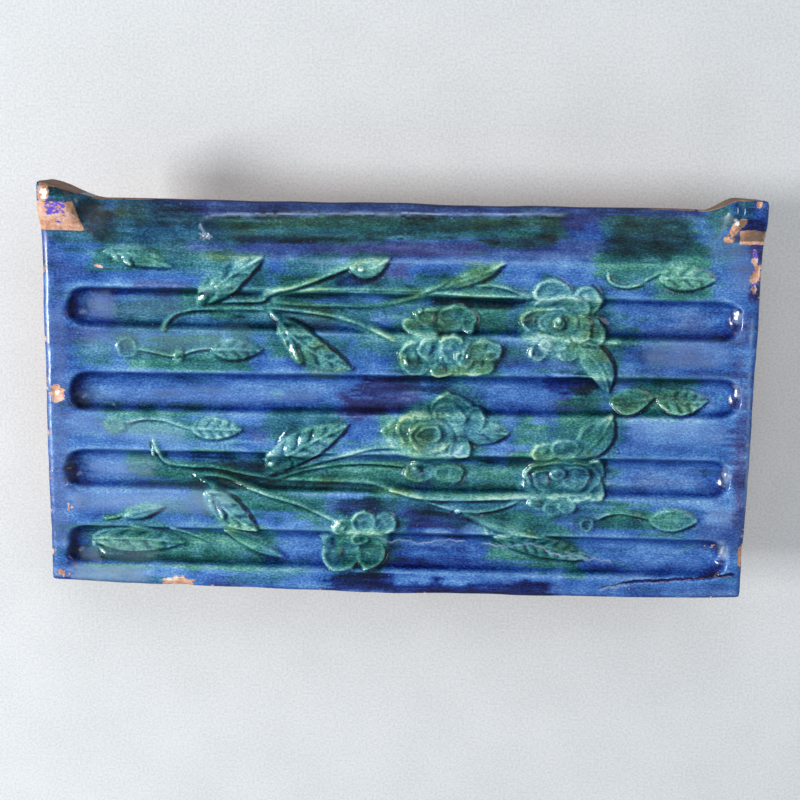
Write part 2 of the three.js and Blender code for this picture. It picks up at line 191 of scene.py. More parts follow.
def face_at(x, y):
    cut = trough(x, y)[0]
    for row in range(len(FLUTES)):
        cut = cut + flute(row, x, y)[0]
    return FIELD + ear_at(x, y) - hollow_at(x, y) - cut


# The camera, and the way from a pixel of the photograph to the face

def turn_matrix(about_x, about_y, about_z):
    turn = Matrix.Identity(3)
    for angle, axis in ((about_z, "Z"), (about_y, "Y"), (about_x, "X")):
        turn = turn @ Matrix.Rotation(angle, 3, axis)
    return np.array(turn)


TILE_TO_CAMERA = turn_matrix(*CAMERA_TURN)
PIXELS_PER_SLOPE = LENS / SENSOR * IMAGE_SIDE


def make_camera():
    data = bpy.data.cameras.new("photo_camera")
    data.lens = LENS
    data.sensor_width = SENSOR
    data.clip_start = 0.01
    data.clip_end = 20
    camera = bpy.data.objects.new("photo_camera", data)
    camera_turn = Matrix(TILE_TO_CAMERA.T.tolist()).to_4x4()
    camera.matrix_world = Matrix.Translation(Vector(CAMERA_PLACE * MM)) @ camera_turn
    bpy.context.scene.collection.objects.link(camera)
    bpy.context.scene.camera = camera


def on_tile(pixel):
    """The plate point that the photograph shows at a pixel."""
    middle = IMAGE_SIDE / 2
    slope = np.array([(pixel[0] - middle) / PIXELS_PER_SLOPE, (middle - pixel[1]) / PIXELS_PER_SLOPE, -1])
    ray = TILE_TO_CAMERA.T @ slope
    height = FIELD
    for _ in range(6):
        point = CAMERA_PLACE + ray * (height - CAMERA_PLACE[2]) / ray[2]
        height = float(face_at(point[0], point[1] - PLATE_SHIFT))
    return point[0], point[1] - PLATE_SHIFT


# The drawing sheet: a grid of points over the face

COLUMNS = 1025
ROWS = 513
RIM_INSET = 0.8          # the grid stops here, and the rounded rim goes on from it

sheet_x = np.linspace(-HALF_LENGTH + RIM_INSET, HALF_LENGTH - RIM_INSET, COLUMNS)
sheet_low = lower_edge_at(sheet_x) + RIM_INSET
sheet_high = crest_edge_at(sheet_x) - RIM_INSET
sheet_share = np.linspace(0, 1, ROWS)[:, None]
GX = np.broadcast_to(sheet_x, (ROWS, COLUMNS)).astype(np.float32)
GY = (sheet_low + (sheet_high - sheet_low) * sheet_share).astype(np.float32)
STEP_X = float(sheet_x[1] - sheet_x[0])
STEP_Y = float(np.mean(sheet_high - sheet_low) / (ROWS - 1))


def window(low_x, high_x, low_y, high_y):
    first, last = np.searchsorted(sheet_x, [low_x, high_x])
    columns = slice(max(0, first - 1), min(COLUMNS, last + 1))
    strip = GY[:, columns]
    touched = np.nonzero(((strip >= low_y) & (strip <= high_y)).any(axis=1))[0]
    if len(touched) == 0 or columns.start >= columns.stop:
        return slice(0, 0), slice(0, 0)
    return slice(touched[0], touched[-1] + 1), columns


def lattice_noise(x, y, size_x, size_y, seed):
    """Smooth noise from -1 to 1 with cells of the given size."""
    draws = np.random.default_rng(seed)
    across = (x - x.min()) / size_x
    up = (y - y.min()) / size_y
    lattice = draws.uniform(-1, 1, (int(up.max()) + 3, int(across.max()) + 3))
    col = across.astype(int)
    row = up.astype(int)
    fx = across - col
    fy = up - row
    fx = fx * fx * (3 - 2 * fx)
    fy = fy * fy * (3 - 2 * fy)
    low = lattice[row, col] * (1 - fx) + lattice[row, col + 1] * fx
    high = lattice[row + 1, col] * (1 - fx) + lattice[row + 1, col + 1] * fx
    return (low * (1 - fy) + high * fy).astype(np.float32)


def cloud(x, y, size_x, size_y, seed, octaves=3):
    total = 0
    for octave in range(octaves):
        shrink = 2 ** octave
        total = total + lattice_noise(x, y, size_x / shrink, size_y / shrink, seed + octave) / shrink
    return total / 1.5


def soften(field, reach):
    """Gaussian blur of the sheet by a reach in millimetres."""
    result = field
    for axis, step in ((0, STEP_Y), (1, STEP_X)):
        cells = int(math.ceil(reach * 2.5 / step))
        offsets = np.arange(-cells, cells + 1)
        weights = np.exp(-0.5 * (offsets * step / reach) ** 2)
        weights /= weights.sum()
        padding = [(0, 0), (0, 0)]
        padding[axis] = (cells, cells)
        padded = np.pad(result, padding, mode="edge")
        total = np.zeros_like(result)
        for start, weight in enumerate(weights):
            part = padded[start:start + ROWS] if axis == 0 else padded[:, start:start + COLUMNS]
            total += weight * part
        result = total
    return result


def shifted(field, across, up):
    """The sheet seen from a point that lies across and up from each point, in millimetres."""
    columns = int(round(across / STEP_X))
    rows = int(round(up / STEP_Y))
    col = np.clip(np.arange(COLUMNS) + columns, 0, COLUMNS - 1)
    row = np.clip(np.arange(ROWS) + rows, 0, ROWS - 1)
    return field[row][:, col]


# Noise on the sheet: its largest cells along X and Y in millimetres, its seed and number of octaves
BRUSH = cloud(GX, GY, 22, 2.2, 11, 4)
STREAK = cloud(GX, GY, 60, 3.5, 23, 4)
MOTTLE = cloud(GX, GY, 7, 6, 37, 4)
GRAIN = cloud(GX, GY, 1.6, 1.4, 51, 2)
CLOUDS = cloud(GX, GY, 26, 12, 67, 3)
HAIR = cloud(GX, GY, 17, 0.95, 83, 3)
PATCHES = cloud(GX, GY, 38, 16, 101, 3)
LUMPS = cloud(GX, GY, 3.8, 3.0, 113, 2)


def curve_through(points, step=0.8):
    """A smooth polyline through a few points."""
    points = np.array(points, float)
    if len(points) == 2:
        count = max(2, int(np.hypot(*(points[1] - points[0])) / (step * 3)) + 1)
        shares = np.linspace(0, 1, count)[:, None]
        return points[0] * (1 - shares) + points[1] * shares
    padded = np.vstack([2 * points[0] - points[1], points, 2 * points[-1] - points[-2]])
    pieces = []
    for before, here, there, after in zip(padded, padded[1:], padded[2:], padded[3:]):
        count = max(2, int(np.hypot(*(there - here)) / step))
        t = np.arange(count)[:, None] / count
        bend = 2 * before - 5 * here + 4 * there - after
        twist = -before + 3 * here - 3 * there + after
        pieces.append(0.5 * (2 * here + (there - before) * t + bend * t ** 2 + twist * t ** 3))
    pieces.append(points[-1:])
    return np.vstack(pieces)


def track(line, reach):
    """Where a path runs on the sheet: its window, and there the distance, share along and side."""
    rows, columns = window(line[:, 0].min() - reach, line[:, 0].max() + reach,
                           line[:, 1].min() - reach, line[:, 1].max() + reach)
    x = GX[rows, columns]
    y = GY[rows, columns]
    nearest = np.full(x.shape, 1e6, np.float32)
    along = np.zeros(x.shape, np.float32)
    side = np.ones(x.shape, np.float32)
    steps = np.hypot(*np.diff(line, axis=0).T)
    total = steps.sum()
    done = 0
    for start, step, length in zip(line, np.diff(line, axis=0), steps):
        if length == 0:
            continue
        share = np.clip(((x - start[0]) * step[0] + (y - start[1]) * step[1]) / length ** 2, 0, 1)
        off_x = x - start[0] - share * step[0]
        off_y = y - start[1] - share * step[1]
        distance = np.hypot(off_x, off_y)
        closer = distance < nearest
        nearest = np.where(closer, distance, nearest)
        along = np.where(closer, (done + share * length) / total, along)
        side = np.where(closer, np.sign(step[0] * off_y - step[1] * off_x), side)
        done += length
    return rows, columns, nearest, along, side


# The relief: forms laid on the sheet, in millimetres above the face

relief = np.zeros((ROWS, COLUMNS), np.float32)
cover = np.zeros((ROWS, COLUMNS), np.float32)
carved = np.zeros((ROWS, COLUMNS), np.float32)
LEE = (1.0, -0.6)        # the way that the stems' grooves lie from their crests
PETAL_LIFT = 155         # petals stand highest on this side, in degrees from X
STEM_NARROWING = 0.86    # stems are worn to this share of their drawn width and height
STEM_LOWERING = 0.85
FACET_RISE_X = 0.51      # the slope of a facet along X in the middle of the tile, and how it grows along X
FACET_RISE_GROWTH = 0.0013
FACET_RISE_Y = -0.09


def lay(rows, columns, shape, inside):
    """Lays a form over the ones below it."""
    relief[rows, columns] = relief[rows, columns] * (1 - inside) + shape * inside
    cover[rows, columns] = np.maximum(cover[rows, columns], inside)


def mound(centre, long, across, turn=0.0, height=0.9):
    """The soft swell under a flower, which fills the gaps between its petals."""
    place = on_tile(centre)
    reach = max(long, across) * 1.3
    rows, columns, share, _, _ = oval(place, long, across, turn, reach)
    rise = smooth(1.15, 0.75, share + 0.08 * MOTTLE[rows, columns])
    relief[rows, columns] = np.maximum(relief[rows, columns], height * rise)
    cover[rows, columns] = np.maximum(cover[rows, columns], rise)


def oval(place, long, across, turn, reach):
    """A window on the sheet, with the share of an oval's radius and its own axes there."""
    rows, columns = window(place[0] - reach, place[0] + reach, place[1] - reach, place[1] + reach)
    off_x = GX[rows, columns] - place[0]
    off_y = GY[rows, columns] - place[1]
    angle = math.radians(turn)
    a = math.cos(angle) * off_x + math.sin(angle) * off_y
    b = -math.sin(angle) * off_x + math.cos(angle) * off_y
    return rows, columns, np.hypot(a / long, b / across) + 1e-4, a, b


def vine(points, width, height, groove_depth):
    """A stem: it swells softly on the side of the light and drops into a groove on the other."""
    width = width * STEM_NARROWING
    height = height * STEM_LOWERING
    line = curve_through([on_tile(point) for point in points])
    rows, columns, distance, along, side = track(line, width * 1.8)
    run = line[-1] - line[0]
    lee = np.sign(run[0] * LEE[1] - run[1] * LEE[0])
    across = distance * side * lee
    taper = smooth(-0.02, 0.12, along) * smooth(1.02, 0.9, along) * 0.5 + 0.5
    windward = smooth(-width * 0.9, -0.2, across)
    leeward = smooth(width * 0.36, 0.0, across)
    swell = 0.85 + 0.5 * MOTTLE[rows, columns]
    shape = height * taper * swell * np.where(across < 0, windward, leeward)
    relief[rows, columns] = np.maximum(relief[rows, columns], shape)
    trench = groove_depth * taper * bell(across - width * 0.5, width * 0.26) * (across > 0)
    carved[rows, columns] = np.maximum(carved[rows, columns], trench)
    cover[rows, columns] = np.maximum(cover[rows, columns], smooth(1.3, 0.5, distance / width))


def leaf(base, tip, width, bend=0.0, veins=0, height=1.5, rim=0.1, rib=0.2, early=0.8, lean=0.35):
    """A leaf with a rolled outline, a rib and slits for its veins, highest away from the light."""
    start = np.array(on_tile(base))
    end = np.array(on_tile(tip))
    axis = end - start
    sideways = np.array([-axis[1], axis[0]]) / np.hypot(*axis)
    line = curve_through([start, (start + end) / 2 + sideways * bend, end])
    rows, columns, distance, along, side = track(line, width)
    lee = np.sign(axis[0] * LEE[1] - axis[1] * LEE[0])
    across = distance * side * lee
    half = width / 2 * np.clip(np.sin(np.pi * along ** early), 0, 1) ** 0.75
    depth = half - distance + 0.12 * GRAIN[rows, columns] + 0.3 * MOTTLE[rows, columns]
    inside = smooth(-0.5, 0.3, depth)
    body = height * (0.6 + 0.4 * smooth(0, width / 3, depth))
    body = body * (1 - lean + lean * smooth(-width * 0.5, width * 0.3, across))
    shape = body * smooth(-0.5, 1.1, depth) + rim * bell(depth - 0.95, 0.5)
    shape = shape + rib * bell(distance, 0.5) * smooth(0, 0.1, along) - 0.3 * bell(distance - 1.0, 0.45)
    if veins:
        phase = along * veins - 0.9 * distance / np.maximum(width / 2, 0.1) + 0.15 * side
        slits = bell((phase % 1) - 0.5, 0.15) * smooth(0.4, 1.0, distance) * smooth(0.6, 1.3, depth)
        shape = shape - 0.95 * slits
    lay(rows, columns, shape, inside)
    trench = 0.7 * bell(depth + 0.45, 0.6) * (across > 0) * smooth(0.02, 0.12, along) * smooth(1, 0.9, along)
    carved[rows, columns] = np.maximum(carved[rows, columns] * (1 - inside), trench)


def petal(centre, long, across, turn=0.0, height=2.2, dish=0.6, bowl=2.6, rolled=1.25, ripple=0.0,
          heart=None):
    """A round petal: a rolled rim round a hollow, which sinks on the side of the flower's heart."""
    place = on_tile(centre)
    rows, columns, share, a, b = oval(place, long, across, turn, max(long, across) + 1.8)
    if ripple:
        share = share * (1 + ripple * np.sin(np.arctan2(b / across, a / long) * 5))
    uneven = 0.14 * GRAIN[rows, columns] + 0.5 * MOTTLE[rows, columns] + 0.4 * BRUSH[rows, columns]
    uneven = uneven + 0.8 * LUMPS[rows, columns]
    depth = np.hypot(a, b) * (1 / share - 1) + uneven
    inside = smooth(-0.5, 0.25, depth)
    local = np.arctan2(b, a) + math.radians(turn)
    crest = height * (0.84 + 0.16 * np.cos(local - math.radians(PETAL_LIFT)))
    if heart:
        middle = on_tile(heart)
        outwards_angle = math.atan2(place[1] - middle[1], place[0] - middle[0])
        crest = crest * (0.55 + 0.45 * smooth(-0.9, 0.5, np.cos(local - outwards_angle)))
    shape = 0.8 * crest * smooth(-0.5, rolled * 0.8, depth)
    shape = shape - dish * smooth(rolled * 0.5, rolled + bowl * 0.5, depth)
    lay(rows, columns, shape, inside)


def petals(heart, *forms):
    """Petals in the order that they lie, round one heart or none."""
    for form in forms:
        petal(*form, heart=heart)


def arc(points, width=1.1, height=0.8):
    """A thin raised line on what is there, such as a petal's rolled edge."""
    line = curve_through([on_tile(point) for point in points])
    rows, columns, distance, along, _ = track(line, width * 1.5)
    taper = smooth(0, 0.15, along) * smooth(1, 0.85, along)
    relief[rows, columns] += height * bell(distance, width / 2) * taper


def slit(points, width=0.9, depth=0.9):
    """A thin cut into what is there."""
    arc(points, width, -depth)


def facet(centre, long, across, turn, lift):
    """A worn, flattened place on the finished surface, tilted towards the left."""
    place = on_tile(centre)
    rows, columns, share, _, _ = oval(place, long, across, turn, max(long, across) * 1.3)
    here = height[rows, columns]
    middle = float(np.mean(here[share < 0.4])) + lift
    slope = FACET_RISE_X + FACET_RISE_GROWTH * place[0]
    plane = middle + slope * (GX[rows, columns] - place[0]) + FACET_RISE_Y * (GY[rows, columns] - place[1])
    inside = smooth(1.3, 0.6, share + 0.3 * MOTTLE[rows, columns] + 0.3 * LUMPS[rows, columns])
    height[rows, columns] = here * (1 - inside) + plane * inside


# Facets: place, length, width, turn and lift
FACETS = [
    ((201, 297), 3, 1.9, 50, 0.1), ((212, 283), 1.4, 1, 50, 0.1), ((125, 260), 3.6, 1.3, -35, 0.2),
    ((293, 350), 6.2, 1.4, -60, 0.2), ((274, 316), 2.6, 0.9, -35, 0.2), ((360, 269), 1.5, 1, 0, 0.2),
    ((419, 311), 1.6, 1.4, 0, 0.2), ((405, 361), 2.2, 1.1, -60, 0.2), ((440, 358), 1.6, 0.8, 80, 0.2),
    ((467, 356), 2.2, 1, 80, 0.4), ((530, 352), 1.9, 0.8, 90, 0.2), ((271, 462), 1.9, 1.7, 0, 0.4),
    ((282, 436), 4.2, 0.9, 52, 0.2), ((219, 509), 4.6, 1.2, -62, 0.4), ((412, 467), 2, 1.7, 0, 0.4),
    ((337, 523), 1.7, 1.9, 0, 0.4), ((321, 535), 1.5, 1, -20, 0.2), ((457, 511), 1.6, 1.1, 0, 0.2),
    ((523, 483), 2, 0.8, 90, 0.4), ((410, 430), 3.2, 0.8, 90, 0.2), ((93, 541), 2.8, 1.1, -70, 0.2),
    ((103, 551), 2.4, 0.9, -30, 0.2), ((152, 449), 3.2, 0.8, 90, 0.2), ((737, 316), 2.8, 1.3, 78, 0),
    ((736, 393), 2.6, 1, 85, 0), ((725, 474), 3, 1.1, 85, 0), ((721, 552), 4.2, 1.2, 78, 0),
    ((114, 405), 1.2, 1, 0, 0.2), ((558, 321), 1.1, 1.5, 0, 0.1),
]


# Stems: width, height and the depth of the groove beside them, then the places that they pass
STEMS = [
    (2.6, 1.3, 0.7, (165, 328), (168, 321), (176, 314), (190, 310), (205, 309), (268, 309)),
    (2.2, 1.3, 0.7, (205, 302), (235, 301.5), (262, 301), (268, 296), (279, 291)),
    (2.8, 1.7, 0.9, (268, 295), (279, 291), (297, 287), (325, 277), (352, 266)),
    (2.5, 1.5, 0.7, (268, 308), (299, 311), (328, 315), (351, 321), (375, 330), (394, 341)),
    (2, 0.9, 0.4, (275, 303), (300, 305), (336, 306), (372, 307)),
    (1.6, 0.7, 0.4, (268, 291), (330, 289.5), (390, 290), (430, 291)),
    (1.8, 0.5, 0.3, (372, 307), (400, 302), (422, 296)),
    (2.2, 1.3, 0.7, (422, 294), (445, 284), (461, 278), (480, 270)),
    (1.9, 1.4, 0.5, (430, 291), (452, 286.5), (477, 285.5), (502, 287.5), (528, 297)),
    (1.9, 1.3, 0.7, (430, 293), (450, 294.5), (480, 296), (522, 297)),
    (2.4, 1.2, 0.7, (268, 311), (281, 320), (295, 328), (308, 336)),
    (2.8, 1.6, 0.7, (153, 442), (156, 450), (163, 459), (172, 464), (190, 466), (215, 467),
     (250, 474), (275, 478)),
    (2.4, 1.3, 0.7, (262, 475), (303, 466), (336, 457.6), (370, 449), (403, 447.7)),
    (2.2, 1.3, 0.7, (275, 478), (303, 470), (335, 465), (370, 463), (412, 467)),
    (2.6, 1.6, 0.7, (275, 478), (328, 480), (369, 482), (395, 490), (419, 498), (452, 500), (500, 499),
     (530, 498)),
    (2.2, 1.4, 0.7, (419, 499), (430, 503), (455, 510.5), (477, 512), (502, 508), (519, 501)),
    (2.6, 1.5, 0.7, (196, 474), (222, 476), (244, 483), (270, 496), (300, 505), (337, 522)),
    (2.2, 1.2, 0.7, (197, 476), (215, 486), (232, 498)),
    (1.9, 1.5, 0.7, (607, 274), (609, 281), (617, 286), (628, 287.5), (641, 285)),
    (1.6, 1, 0.7, (645, 281), (657, 275), (667, 271), (674, 265.5)),
    (1.9, 1.2, 0.7, (138, 349), (156, 352.6), (175, 356), (196.7, 350), (214, 348)),
    (1.9, 1.1, 0.7, (127, 423), (144, 419), (163, 420.5), (178, 425), (196, 431)),
    (1.8, 1.1, 0.7, (620, 393), (638, 394.5), (660, 398)),
    (1.8, 1.1, 0.7, (597, 519.5), (609.5, 514.5), (626, 514), (652, 520)),
    (1.6, 0.9, 0.7, (105, 519), (120, 516), (128, 510)),
    (1.6, 0.8, 0.7, (132, 526), (163, 533), (185, 543)),
    (1.5, 0.8, 0.7, (173, 528), (197, 536), (213, 543)),
    (1.7, 1, 0.7, (463, 513), (480, 521), (488, 533)),
    (1.7, 1, 0.7, (466, 514), (495, 521), (534, 533)),
]


def draw_leaves():
    leaf((104, 250), (174, 268), 8.5, bend=1.2, height=1.3, rib=0.1, lean=0.5)
    leaf((200, 302), (264, 256), 13, bend=1.5, veins=3, height=1.9, lean=0.85)
    leaf((349, 268), (390, 259), 9.0, bend=-2.0, height=1.8, rib=0.1)
    leaf((279, 320), (353, 370), 12.5, bend=-2.4, veins=5, height=1.9, rim=0.2)
    leaf((445, 286), (508, 262), 6.5, bend=-0.6, height=1.1, rib=0.2)
    leaf((659, 278), (718, 280), 10.5, bend=0.4, veins=4, height=1.2, rim=0.25)
    leaf((211, 349), (262, 350.5), 9.4, bend=0.3, veins=4, height=1.2, rim=0.25)
    leaf((191, 428), (243, 430), 10.4, bend=0.2, veins=5, height=1.2, rim=0.25)
    leaf((657, 400), (709, 401), 10.8, bend=-0.3, veins=5, height=1.4, rim=0.25)
    leaf((649, 520), (699, 521), 10.5, bend=0, height=0.7, rim=0.6, rib=0.1)
    leaf((122, 516), (168, 505), 6.8, bend=0.4, height=1.0, rib=0.2)
    leaf((92, 537), (186, 542), 12, bend=0.8, veins=5, height=1.2)
    leaf((266, 467), (349, 424), 14.5, bend=1.2, veins=6, height=1.8, rim=0.25)
    leaf((206, 490), (259, 530), 12.5, bend=-0.8, veins=4, height=1.8)
    leaf((224, 529), (285, 557), 7.5, bend=-0.5, height=1.2)
    leaf((493, 536), (590, 559), 11, bend=0.6, veins=9, height=1.2)
    leaf((463, 513), (548, 539), 5.2, bend=-0.3, height=1.0)


def draw_upper_rose():
    heart = (559, 322)
    mound((561, 322), 17.5, 13.5, 0, 1.2)
    petals(None, ((584, 352), 4, 4.6, 0, 1.6, 0.3))
    leaf((576, 343), (609, 393), 12.0, bend=2.8, height=1.7, rim=0.2, lean=0.2)
    petals(heart, ((593, 332), 5.4, 6, 0, 2.2, 0.6, 2.2, 1.5), ((587, 301), 6.2, 7, 20, 2.2, 0.7, 2.4, 1.5),
           ((553, 293), 8.2, 6.2, 0, 2.1, 0.8, 2.4, 1.5), ((538, 352), 4.6, 4.2, 20, 2, 0.8, 2, 1.2),
           ((566, 354), 4.8, 3.8, -16, 2.1, 0.6, 2, 1.2), ((552, 345), 6.2, 3.2, -10, 2.2, 0.4, 1.6, 1.2),
           ((578, 306), 6, 4.4, -24, 2.3, 0.5, 1.8), ((553, 303), 8.6, 3.4, 8, 2.2, 0.4, 1.6, 1.1, 0.06),
           ((579, 328), 5.4, 6, 0, 2.5, 0.6, 1.8, 1.5))
    petals(None, ((550, 321), 12.8, 6.9, -2, 2.7, 1, 2.2, 2.1), ((557, 322), 9, 5, 0, 2, 0.5, 1.8, 1.3),
           ((559.5, 321.5), 2.6, 2.5, 0, 3, 0.2, 0.9, 0.8))
    slit([(551, 317), (555, 313.8), (561, 313.2), (567, 316), (569, 322), (566, 328), (560, 330)], 0.8, 0.7)
    arc([(536, 300), (546, 297), (556, 299), (566, 296), (582, 300)], 1.3, 0.5)
    vine([(578, 344), (598, 344), (620, 343.5)], 1.8, 0.9, 0.3)


def draw_upper_peony():
    heart = (447, 356)
    mound((450, 357), 19.5, 8.0, 0, 1.2)
    mound((443, 318), 12.5, 5.6, 0, 0.9)
    petals(None, ((420, 327), 7.6, 3.6, -16, 1.6, 0.2))
    petals((452, 326), ((434, 318), 8.6, 4.4, -10, 1.9, 0.5))
    petals((446, 324), ((455, 316), 7.4, 5.4, 8, 1.9, 0.7))
    petals((452, 322), ((468, 320), 3.6, 4.6, 0, 1.6, 0.5))
    petals(heart, ((443, 368), 5.6, 3.8, 15, 1.9, 0.4), ((474, 367), 9, 4.2, 4, 2, 0.4),
           ((417, 357), 7.6, 7.6, 0, 2.2, 0.7, 3), ((431, 349), 6.2, 5.4, 0, 2.2, 0.6, 2.4))
    petals((452, 362), ((452, 349), 5.8, 6.2, 0, 2.5, 0.7, 2.4))
    petals(None, ((465, 358), 4, 4.4, 0, 2.5, 0.3))
    petals(heart, ((484, 351), 7.6, 4.6, 4, 2.2, 0.6))
    arc([(484, 356), (490, 351.5), (498, 353), (499, 358), (492, 360), (485, 358)], 1.3, 0.8)
    slit([(484, 347), (488, 348)], 2.2, 1.2)
    slit([(481, 362), (485, 363)], 2.2, 1.2)
    slit([(444, 367), (448, 368)], 1.9, 1.2)
    slit([(441, 340), (440, 352), (446, 362)], 1.0, 0.7)
    slit([(463, 341), (461, 352), (455, 366)], 1.1, 0.8)
    arc([(405, 352), (405, 360), (410, 368)], 1.4, 0.5)


def draw_lower_peony():
    heart = (440, 430)
    mound((434, 434), 17, 14, 0, 1.1)
    leaf((464, 433), (510, 434), 11, bend=0.6, veins=2, height=1.4)
    petals((440, 466), ((420, 471), 6.8, 4.6, 0, 2.1, 0.4))
    petals((434, 468), ((449, 473), 6.8, 4, 0, 1.9, 0.4))
    petals(heart, ((395, 431), 6, 5, 10, 1.2, 0.2), ((452, 409), 9.6, 6.6, -10, 2.1, 0.8, 2.8),
           ((473, 421), 5, 5.4, -30, 1.8, 0.6, 2.2))
    petals(None, ((408, 430), 5, 6.8, 10, 1.9, 0.5, 2))
    petals(heart, ((449, 416), 7.2, 5, -8, 2.2, 0.6, 2.2))
    petals((440, 420), ((431, 437), 10, 7.6, 0, 2.3, 0.8, 3.2))
    petals(heart, ((461, 447), 4.2, 5, 0, 2.2, 0.5))
    petals(None, ((428, 434), 5.6, 4.2, 10, 2.2, 1, 1.8))
    arc([(412, 446), (430, 450), (450, 445)], 1.4, 0.5)
    arc([(435, 398), (443, 395), (460, 402), (470, 412)], 1.4, 0.5)
    slit([(441, 417), (452, 428), (456, 442), (452, 454)], 1.2, 0.8)
    slit([(440, 415), (447, 411), (455, 415)], 1.1, 0.7)


def draw_lower_rose():
    heart = (562, 477)
    mound((563, 477), 19, 10, 0, 1.2)
    petals(None, ((592, 439), 7.2, 6.6, 30, 1.2, 0.3))
    leaf((581, 455), (612, 414), 12, bend=-1.4, height=1.2, rim=0.2)
    petals(heart, ((545, 452), 6.2, 4.6, 10, 1.7, 0.6), ((565, 449), 6.6, 4.8, -6, 1.8, 0.6),
           ((540, 503), 4.8, 3.8, 0, 1.7, 0.4), ((553, 508), 4.8, 3.6, 0, 1.8, 0.4),
           ((566, 506), 4.6, 3.6, 0, 1.8, 0.4), ((594, 489), 4.6, 4.8, 0, 2.1, 0.6),
           ((594, 471), 4.8, 5.8, 0, 2.2, 0.7), ((578, 493), 6.2, 3.6, 12, 2.1, 0.5))
    petals(None, ((563, 476), 16.4, 7.8, 0, 2.3, 0.9, 3))
    petals(heart, ((548, 479), 7.6, 5, 0, 2.3, 0.7, 2.4), ((574, 476), 7, 5.6, 0, 2.4, 0.7, 2.4))
    petals(None, ((558, 474), 3.4, 2.9, 0, 2.8, 0.5, 0.9, 0.9))
    slit([(551, 470), (556, 468), (564, 469), (567, 474)], 0.9, 0.8)
    slit([(604, 461), (605, 475), (603, 488)], 1.2, 0.9)


def draw_blossom():
    heart = (361, 538)
    mound((361, 538), 13, 10, -10, 1.2)
    petals(heart, ((341, 552), 8.4, 6.4, 10, 2, 0.6, 3), ((371, 550), 6.4, 6.4, 0, 2.1, 0.7, 2.6),
           ((345, 528), 5.4, 4.6, 20, 2, 0.5), ((385, 523), 5, 5.4, 0, 2, 0.6),
           ((363, 522), 5.8, 5.8, 0, 2.3, 0.8, 2.4), ((331, 540), 4.6, 4, 0, 1.7, 0.3))
    petals(None, ((360, 538), 4.4, 3.2, 0, 2.4, 0.7, 1.4))


def draw_rings():
    petals(None, ((127, 347.5), 4.4, 4.2, 0, 1.1, 0.9, 0.7, 0.8), ((179, 355), 2.6, 2.5, 0, 1.5, 0.1),
           ((114, 424), 4.2, 3.9, 0, 0.7, 0.3, 1.4), ((586, 525.5), 2.9, 2.8, 0, 1.4, 1.1, 0.7, 0.7),
           ((279, 461), 6.2, 4.8, -20, 2.2, 0), ((207, 294), 6, 2.6, 50, 1.4, 0),
           ((123, 259), 5, 2.6, -20, 1.7, 0), ((217, 508), 6, 2.6, -60, 2, 0),
           ((294, 350), 7, 2.6, -60, 2.1, 0))
    leaf((610, 402), (654, 398), 11, height=1.1, rim=0.3)


for width, rise, groove_depth, *places in STEMS:
    vine(places, width, rise, groove_depth)
draw_leaves()
draw_upper_rose()
draw_upper_peony()
draw_lower_peony()
draw_lower_rose()
draw_blossom()
draw_rings()
relief = np.maximum(relief, 0.8 * soften(relief, 0.9)) - carved
relief = relief + 0.16 * LUMPS * soften(cover, 0.6)

# Wear: chips that break the edges down to the clay

chipped = np.zeros((ROWS, COLUMNS), np.float32)
bare = np.zeros((ROWS, COLUMNS), np.float32)


def chip(centre, long, across, turn, depth):
    """A shallow shell broken from the surface, ragged at its edge."""
    rows, columns, share, _, _ = oval(on_tile(centre), long, across, turn, max(long, across) * 1.6)
    share = share + 0.3 * MOTTLE[rows, columns] + 0.3 * GRAIN[rows, columns] + 0.22 * HAIR[rows, columns]
    hollow = depth * smooth(1.0, 0.45, share) * (0.8 + 0.3 * GRAIN[rows, columns])
    chipped[rows, columns] = np.maximum(chipped[rows, columns], hollow)
    bare[rows, columns] = np.maximum(bare[rows, columns], smooth(1.02, 0.9, share))


def speckle(centre, long, across, turn):
    """Specks of clay that show through a thin place in the glaze."""
    rows, columns, share, _, _ = oval(on_tile(centre), long, across, turn, max(long, across) * 1.4)
    specks = smooth(0.3, 0.55, GRAIN[rows, columns] + 0.4 * HAIR[rows, columns]) * smooth(1.2, 0.5, share)
    bare[rows, columns] = np.maximum(bare[rows, columns], specks)


# Specks of clay: place, length, width and turn
SPECKS = [
    ((711, 544), 3.6, 2.4, 30), ((717, 575), 3.6, 1.8, 10), ((745, 570), 1.6, 5, 0),
    ((70, 470), 1.8, 7, -8), ((68, 506), 3.6, 2.6, 0), ((62, 572), 4.6, 2.4, 0), ((90, 586), 8, 1.4, 0),
    ((640, 586), 14, 1.6, 4), ((744, 236), 5, 1, 30), ((96, 192), 5, 1.2, -20), ((205, 236), 4, 2.6, 0),
]


# Chips: place, length, width, turn and depth
CHIPS = [
    ((42.5, 192), 2.4, 4.6, 0, 0.7), ((52, 184), 3.6, 0.9, 0, 0.6), ((57, 393), 4.2, 4, 70, 1.4),
    ((178, 580.5), 5.6, 2.4, 0, 1.2), ((165, 586), 1.6, 1.2, 0, 1), ((743, 556), 1.8, 5.4, 0, 1.3),
    ((757, 275), 2.3, 4.4, -8, 1.2), ((755, 289), 1.2, 2.6, 8, 0.8), ((756, 259), 1.5, 3.4, 6, 0.7),
    ((61, 184), 2, 1.2, 0, 0.9), ((78, 187), 2.6, 1.1, 0, 0.9), ((105, 194), 1.8, 0.9, 0, 0.8),
    ((98, 266), 2.2, 0.7, -12, 0.4), ((737.5, 226.5), 4.8, 1.7, 53, 0.8), ((729, 240), 2, 1.2, 0, 0.8),
    ((760, 204), 1.6, 1.8, 0, 0.8),
]


